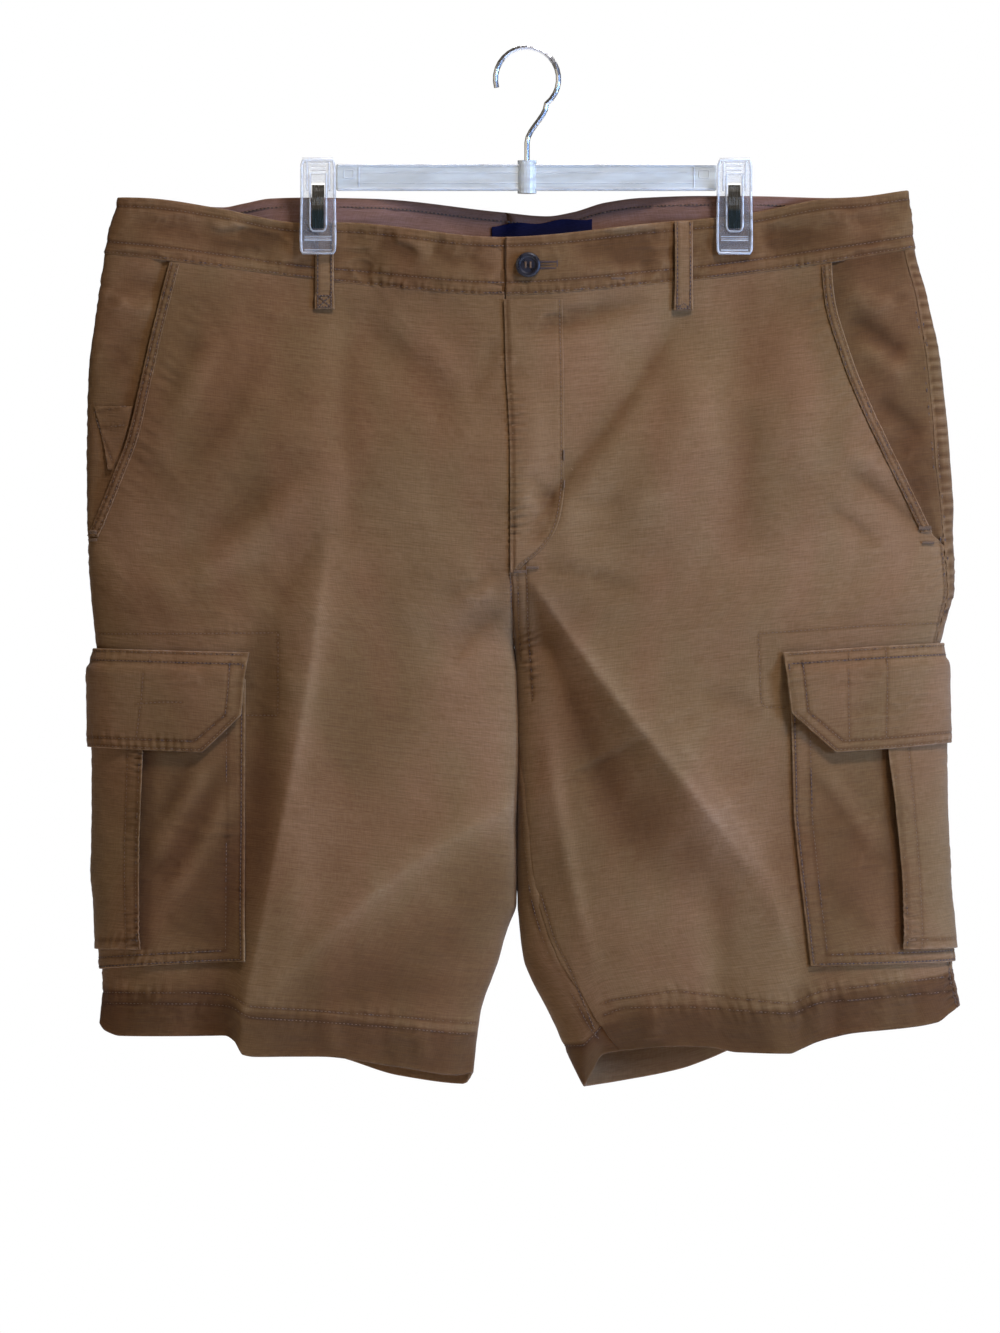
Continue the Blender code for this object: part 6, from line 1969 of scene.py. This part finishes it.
def make_belt_loop(name, x, back):
    edge = TOP_EDGE_BACK if back else TOP_EDGE_FRONT
    seam = WAIST_SEAM_BACK if back else WAIST_SEAM_FRONT
    top, low = float(smooth(edge, x)) + 0.6, float(smooth(seam, x)) + LOOP_BELOW_SEAM
    down = np.linspace(0, 1, 43)[:, None]
    across = np.linspace(-0.5, 0.5, 13)[None, :]
    xs = x + LOOP_WIDTH * (1 + LOOP_FOOT_WIDER * ease((down - 0.8) / 0.06)) * across
    drops = np.broadcast_to(blend(top, low, down), xs.shape)
    bow = 0.0 if name == CLIPPED_LOOP else LOOP_BOW
    depth, middle, half = LOOP_DIP
    lift = LOOP_PROUD + bow * np.sin(np.pi * down) - depth * bump_at(down - middle, half)
    lines = [("edge", evenly([(x + away, top), (x + away, low)], 2.0)) for away in (-LOOP_ROW, LOOP_ROW)]
    surface = flat_surface(xs, drops, back, np.broadcast_to(lift, xs.shape), lines)
    piece = cloth_shell(f"{name}_cloth", surface, LOOP_CLOTH, CANVAS, COARSE_STRIDE, bulge=0.45)
    declare(piece, "twill", ["waistband_cloth"], name)
    parts = []
    for _, line in lines:
        height = LOOP_PROUD + bow * np.sin(np.pi * (line[:, 1] - top) / (low - top)) + 0.05
        base, out = raised(line[:, 0], line[:, 1], back)
        parts += thread_along(base + out * (height * MM)[:, None], out)
    half, box_top, box_low = LOOP_WIDTH / 2 - 2.0, low - 9.5, low - 1.4
    corners = [(-half, box_top), (half, box_top), (half, box_low), (-half, box_low), (-half, box_top),
               (half, box_low)]
    for path in (corners, [(half, box_top), (-half, box_low)]):
        line = evenly([(x + a, b) for a, b in path], 1.0)
        base, out = raised(line[:, 0], line[:, 1], back)
        parts += thread_along(base + out * (LOOP_PROUD + 0.25) * MM, out, LOOP_TACK_LONG)
    sew(f"{name}_stitching", parts)


def make_label():
    x, drop = np.meshgrid(np.linspace(*LABEL_X, 49), np.linspace(*LABEL_DROP, 19))
    top_share = ease((LABEL_DROP[1] - drop) / (LABEL_DROP[1] - LABEL_DROP[0]))
    tilt = blend(1.5, -3.6, (x - LABEL_X[0]) / (LABEL_X[1] - LABEL_X[0]))
    wave = (0.9 * np.sin(x * 0.19) + tilt) * top_share
    lift = BAND_PROUD - BAND_CLOTH - LAY_GAP + 0.25 * np.sin(x * 0.3 + drop * 0.1)
    base, out = raised(x, drop + wave, True)
    points = base + out * ((lift - LABEL_CLOTH) * MM)[..., None]
    surface = {"points": points, "out": -out, "across": x, "down": drop, "ditch": np.zeros(x.shape)}
    piece = cloth_shell("waist_label_cloth", surface, LABEL_CLOTH, LABEL, COARSE_STRIDE, worn=())
    declare(piece, "label", ["waistband_cloth"], "waist_label")


FLY_LAP = 1.2
# how far the overlap still stands proud at its outer edge, and over how wide a strip it sinks to that
FLY_EDGE_PROUD = 1.05
FLY_MELT = 5.0


def make_fly_placket():
    """The fly's overlap. Its inner edge is a fold, and its outer edge melts into the panel."""
    drops = np.linspace(FLY_EDGE[0][0], FLY_EDGE[-1][0], whole(188 / FINE, COARSE_STRIDE) + 1)
    centre, outer = smooth(CENTRE_SEAM, drops), smooth(FLY_EDGE, drops)
    x_in = centre + SEAM_GAP
    x_out = np.maximum(outer, x_in + 2.0)
    share = np.linspace(0, 1, 31)[None, :]
    turn, level = turn_and_level("left", blend(x_in[:, None], x_out[:, None], share), drops[:, None])
    from_edge = (1 - share) * (x_out - x_in)[:, None]
    proud = FLY_LIFT + FLY_CLOTH
    lift = proud - (proud - FLY_EDGE_PROUD) * (1 - ease(from_edge / FLY_MELT))
    j_line = evenly(np.stack([outer - 2.2, drops], axis=1), 2.0)
    j_line = j_line[j_line[:, 0] > smooth(CENTRE_SEAM, j_line[:, 1]) + 2.0]
    rows = [row_at("left", "faint", *j_line.T), row_at("left", "side", centre + 1.9, drops)]
    surface = tube_surface("left", turn, level, lift, rows)
    surface["points"][:, 0, 0] -= FLY_LAP * MM
    piece = cloth_shell("fly_placket_cloth", surface, FLY_CLOTH, CANVAS, COARSE_STRIDE, worn=("start",))
    declare(piece, "twill", ["front_panel_left"], "fly_placket")
    sew("fly_stitching", row_threads("left", proud - 0.3, rows))


BACKING_HALF = 7.0
BACKING_CLOTH = 0.8


def make_seam_backing(name, back, first_drop, last_drop):
    """The pressed seam allowances behind the centre seam."""
    drops = np.linspace(first_drop, last_drop, 91)[:, None]
    x = smooth(CENTRE_SEAM, drops) + BACKING_HALF * np.linspace(-1, 1, 13)[None, :]
    x, drops = np.broadcast_arrays(x, drops)
    base, out = raised(x, drops, back)
    points = base - out * (CLOTH + 0.15) * MM
    # painted shade over the whole strip, which lies back in the seam's gap
    surface = {"points": points, "out": out, "across": x, "down": drops, "ditch": np.full(x.shape, 0.6)}
    piece = cloth_shell(name, surface, BACKING_CLOTH, CANVAS, COARSE_STRIDE, worn=())
    panel = "back_panel" if back else "front_panel"
    declare(piece, "twill", [f"{panel}_left", f"{panel}_right"])


# ================================================================ bartacks, buttonhole, button thread
# centre and half length in chart units, the width in millimetres, whether it runs down,
# its lift in millimetres
BARTACKS = [
    ((520, 572), 6, 1.8, False, 0.5), ((532, 568), 6, 1.8, False, 0.5), ((563, 456), 5, 1.3, True, 1.2),
    ((564, 485), 4, 1.3, True, 1.2), ((618, 279), 7, 1.6, False, 0.9),
    ((927, 543), 6, 1.8, False, 1.2),
    ((94, 540), 4, 1.8, False, 1.0),
]


def make_bartacks():
    parts = []
    for (cx, cy), half, width, runs_down, lift in BARTACKS:
        ends = [(cx, cy - half), (cx, cy + half)] if runs_down else [(cx - half, cy), (cx + half, cy)]
        parts.append(dense_bar(*raised_line(evenly(chart(ends), 0.8), lift), width, 0.5))
    sew("bartacks", parts)


BUTTONHOLE_X = (532, 557)
BUTTONHOLE_Y = 266
BUTTONHOLE_SPREAD = 3.2


def make_buttonhole():
    """Close dark stitches round a slit: a bar on each side, one at the end, and a dark strip of painted shade
    in the slit itself.
    """
    parts = []
    (x0, x1), y, spread = BUTTONHOLE_X, BUTTONHOLE_Y, BUTTONHOLE_SPREAD
    for ends, width in (([(x0, y - spread), (x1, y - spread)], 1.5),
                        ([(x0, y + spread), (x1, y + spread)], 1.5),
                        ([(x1, y - 1.5 * spread), (x1, y + 1.5 * spread)], 1.4),
                        ([(x0, y), (x1 - 3, y)], 0.7)):
        line = evenly(chart(ends), 0.8)
        points, faces, _ = dense_bar(*raised_line(line, BAND_PROUD + 0.15), width, 0.45)
        parts.append((points, faces, HOLE_SLOT))
    sew("buttonhole", parts)


# how deep in the button its thread lies, and how thick each of its strands is
BUTTON_THREAD_DEPTH = 1.05
BUTTON_THREAD_RADIUS = 0.26


def make_button_thread():
    """Two runs of thread through the button's four holes."""
    low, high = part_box("button")
    centre = np.array([(low[0] + high[0]) / 2, low[1], (low[2] + high[2]) / 2])
    reach = BUTTON_HOLE_OFFSET * math.sqrt(0.5)
    up, outwards = np.array([[0, 0, 1.0]]), np.array([[0, -1.0, 0]])
    parts = []
    for side_by in (-reach, reach):
        for strand in (-0.35, 0.0, 0.35):
            middle = centre + np.array([(side_by + strand) * MM, BUTTON_THREAD_DEPTH * MM, 0])
            parts.append(stitch_mesh(middle[None], up, outwards, np.array([2 * reach + 1.1]),
                                     BUTTON_THREAD_RADIUS))
    sew("button_thread", parts)


# ================================================================ hanger
RIB_PROFILE = [(-1.0, 0.0), (-0.8, 0.75), (-0.35, 1.0), (0.35, 1.0), (0.8, 0.75), (1.0, 0.0)]


def rib_mesh(path, face_depth, sign, width, height, closed=False):
    """A moulded rib along a path of (x, drop) points that stands on a face of the given depth."""
    path = np.array(path, float)
    depth = face_depth(path[:, 1]) if callable(face_depth) else np.full(len(path), float(face_depth))
    ahead = np.roll(path, -1, axis=0) if closed else np.vstack([path[1:], path[-1:]])
    behind = np.roll(path, 1, axis=0) if closed else np.vstack([path[:1], path[:-1]])
    along = ahead - behind
    along /= np.maximum(np.linalg.norm(along, axis=1, keepdims=True), 1e-9)
    side_step = np.stack([along[:, 1], -along[:, 0]], axis=1)
    points = []
    for across, up in RIB_PROFILE:
        place = path + side_step * across * width / 2
        rise = depth + up * height - 0.1
        points.append(np.stack([place[:, 0], sign * rise, -place[:, 1]], axis=1) * MM)
    points = np.stack(points, axis=1)
    index = np.arange(points.size // 3).reshape(points.shape[:2])
    index = np.vstack([index, index[:1]]) if closed else index
    return points.reshape(-1, 3), grid_faces(index), 0


def level_rib(x_low, x_high, drop, count, *rib):
    """A rib across, from x_low to x_high. rib is its face's depth, sign, width and height."""
    return rib_mesh([(x, drop) for x in np.linspace(x_low, x_high, count)], *rib)


def upright_rib(x, drop_low, drop_high, count, *rib):
    return rib_mesh([(x, drop) for drop in np.linspace(drop_low, drop_high, count)], *rib)


def rounded_box(x_low, x_high, drop_low, drop_high, corner):
    """A closed path round a box with rounded corners."""
    path = []
    for cx, cy, start in ((x_high - corner, drop_low + corner, -90), (x_high - corner, drop_high - corner, 0),
                          (x_low + corner, drop_high - corner, 90), (x_low + corner, drop_low + corner, 180)):
        for angle in range(start, start + 91, 18):
            turn = math.radians(angle)
            path.append((cx + corner * math.cos(turn), cy + corner * math.sin(turn)))
    return path


def jaw_outside(face_name, side):
    """The depth of a jaw's outer face at each drop."""
    places, depths = np.array(JAW_FACE, float).T
    return lambda drop: np.interp(drop, places, depths) + JAW_CLEAR[(face_name, side)] + JAW_WALL


# drop, width, height of the lines round a jaw's foot
GRIP_LINES = ((129.0, 0.5, 0.3), (130.2, 0.5, 0.3), (131.6, 0.9, 0.45), (138.4, 0.8, 0.4))


def make_jaw_ribs(face_name, side):
    """The raised rim, the spring's frame and the grip lines of a clip, with its embossed place left bare."""
    sign = -1 if face_name == "front" else 1
    x_low, x_high = JAW_X[side]
    middle = (x_low + x_high) / 2
    depth = jaw_outside(face_name, side)
    drops, inset = np.array(JAW_SIDES, float).T
    rim_drops = np.linspace(drops[0] + 1.2, drops[-1] - 1.2, 40)
    edge = np.interp(rim_drops, drops, inset) + 0.9
    rim = list(zip(x_low + edge, rim_drops)) + list(zip((x_high - edge)[::-1], rim_drops[::-1]))
    frame_low, frame_high = middle - SPRING_WIDTH / 2 - 1.5, middle + SPRING_WIDTH / 2 + 1.5
    u_rib = [(frame_low, d) for d in np.linspace(86, 122, 14)]
    u_rib += [(frame_low + 1.0, 124.6), (frame_low + 2.4, 125.4), (frame_high - 2.4, 125.4),
              (frame_high - 1.0, 124.6)]
    u_rib += [(frame_high, d) for d in np.linspace(122, 86, 14)]
    parts = [rib_mesh(rim, depth, sign, 1.7, 0.75, closed=True), rib_mesh(u_rib, depth, sign, 1.4, 1.1)]
    for drop, wide, tall in GRIP_LINES:
        parts.append(level_rib(x_low + 2.8, x_high - 2.8, drop, 8, depth, sign, wide, tall))
    for x in (middle - 7.6, middle + 7.6):
        parts.append(upright_rib(x, 78, 97, 8, depth, sign, 1.2, 0.9))
    for drop in (79.5, 82.5, 85.5):
        parts.append(level_rib(middle - 5.2, middle + 5.2, drop, 6, depth, sign, 0.8, 0.6))
    return parts


def make_bar_ribs():
    """The flanges along the bar, the marks near its ends and the shallow ribs between."""
    half = BAR_THICK / 2
    x_low, x_high = BAR_X
    top, low = BAR_DROP
    for sign, name in ((-1, "front"), (1, "back")):
        parts = []
        for drop, wide, tall, inset in ((top + 1.1, 1.9, 0.9, 1.5), (low - 1.1, 1.9, 0.9, 1.5),
                                        (top + 6.0, 0.8, 0.35, 14), (low - 5.2, 0.8, 0.35, 14)):
            parts.append(level_rib(x_low + inset, x_high - inset, drop, 40, half, sign, wide, tall))
        for x, inwards in ((x_low + 8.5, 7.0), (x_high - 8.5, -7.0)):
            mark = rounded_box(x - 3.4, x + 3.4, top + 4.2, top + 9.8, 0.9)
            parts.append(rib_mesh(mark, half, sign, 0.7, 0.5, closed=True))
            parts.append(upright_rib(x + inwards, top + 2, low - 2, 6, half, sign, 1.0, 0.6))
        joined(f"bar_ribs_{name}", parts, [CLEAR_RIB_HIGHLIGHT])


def dress_hanger():
    nodes = frame["nodes"]

    def finish(name, material):
        nodes[name].data.materials.clear()
        nodes[name].data.materials.append(material)

    finish("button", button_material())
    finish("hanger_bar", CLEAR_BAR)
    finish("hanger_hook", steel_material("plated_wire", WIRE_COLOUR, WIRE_COLOUR, -0.08, 0.0))
    blued = steel_material("spring_steel_sheet", STEEL_COLOUR, BLUED_COLOUR, -0.1115, -0.1095)
    for side in SIDES:
        finish(f"clip_spring_{side}", blued)
        for face_name in ("front", "back"):
            finish(f"clip_jaw_{face_name}_{side}", CLEAR)
            joined(f"jaw_ribs_{face_name}_{side}", make_jaw_ribs(face_name, side), [CLEAR_RIB_HIGHLIGHT])
    make_bar_ribs()


CLEAR = clear_material("clear_plastic_wall", CLEAR_COLOUR, 0.12)
CLEAR_BAR = clear_material("clear_plastic_bar", CLEAR_BAR_COLOUR, 0.62)
# fuller and lighter than the walls: a painted highlight along the ribs and rims
CLEAR_RIB_HIGHLIGHT = clear_material("clear_plastic_rib", CLEAR_RIB_HIGHLIGHT_COLOUR, 0.42)


# ================================================================ stage
CAMERA_AWAY = 6.0
SENSOR_WIDE = 36.0
VIEW_WIDE = 0.690
VIEW_CENTRE = (-0.01863, -0.4254)
PICTURE_SHAPE = 1000 / 1333
FLOOR_REACH, FLOOR_Z = 2.0, -1.12
WORLD_LIGHT = 0.10
WORLD_COLOUR = (1.0, 0.87, 0.72)
# name, place, width, power, colour
LIGHTS = [
    ("key_light", (1.2, -1.6, 2.4), 0.6, 116, (1.0, 0.98, 1.05)),
    ("side_light", (2.2, -1.3, -0.3), 0.6, 44, (0.60, 1.05, 2.1)),
    ("fill_light", (-1.6, -2.0, 0.2), 1.2, 4, (1.0, 0.92, 0.76)),
    ("back_light", (0.3, 2.2, 0.9), 1.6, 80, (1, 1, 1)),
]


def make_floor():
    data = bpy.data.meshes.new("floor")
    corners = [(-FLOOR_REACH, -FLOOR_REACH), (FLOOR_REACH, -FLOOR_REACH), (FLOOR_REACH, FLOOR_REACH),
               (-FLOOR_REACH, FLOOR_REACH)]
    data.from_pydata([(x, y, FLOOR_Z) for x, y in corners], [], [(0, 1, 2, 3)])
    data.materials.append(shader_of("pale_floor", (0.9, 0.9, 0.89), 0.85)[0])
    floor = in_scene("floor", data)


def make_world():
    """A white background for the camera and a faint warm light for everything else."""
    world = bpy.data.worlds.new("studio")
    bpy.context.scene.world = world
    world.use_nodes = True
    tree = world.node_tree
    background = tree.nodes["Background"]
    seen = add_node(tree, "ShaderNodeLightPath").outputs["Is Camera Ray"]
    tree.links.new(mixed(tree, WORLD_COLOUR, (1, 1, 1), seen), background.inputs["Color"])
    strength = add_node(tree, "ShaderNodeMapRange", None,
                        {"Value": seen, "To Min": WORLD_LIGHT, "To Max": 1.0})
    tree.links.new(strength.outputs["Result"], background.inputs["Strength"])


def make_lights():
    target = Vector((VIEW_CENTRE[0], 0, VIEW_CENTRE[1]))
    for name, place, size, power, light_colour in LIGHTS:
        data = bpy.data.lights.new(name, "AREA")
        data.shape = "DISK"
        data.size = size
        data.energy = power
        data.color = light_colour
        light = in_scene(name, data)
        light.location = place
        light.rotation_euler = (target - Vector(place)).to_track_quat("-Z", "Y").to_euler()


def make_camera():
    data = bpy.data.cameras.new("camera")
    camera = in_scene("camera", data)
    camera.location = (VIEW_CENTRE[0], -CAMERA_AWAY, VIEW_CENTRE[1])
    camera.rotation_euler = (math.pi / 2, 0, 0)
    data.sensor_width = SENSOR_WIDE
    data.lens = SENSOR_WIDE * CAMERA_AWAY / (VIEW_WIDE / PICTURE_SHAPE)
    data.clip_end = 60
    bpy.context.scene.camera = camera
    bpy.context.scene.view_settings.view_transform = "Standard"


# ================================================================ all of it
for side in SIDES:
    make_front(side)
    make_back(side)
    make_facing(side)
    make_binding(side)
    make_cargo_pocket(side)
    make_cargo_pleat(side)
    make_cargo_flap(side)
make_coin_pocket()
make_waistband()
for loop_name, (loop_x, on_back) in BELT_LOOPS.items():
    make_belt_loop(loop_name, loop_x, on_back)
make_label()
make_fly_placket()
make_seam_backing("fly_shield", False, 152, 412)
make_seam_backing("centre_back_allowance", True, 150, 405)
make_bartacks()
make_buttonhole()
make_button_thread()
dress_hanger()
make_floor()
make_world()
make_lights()
make_camera()
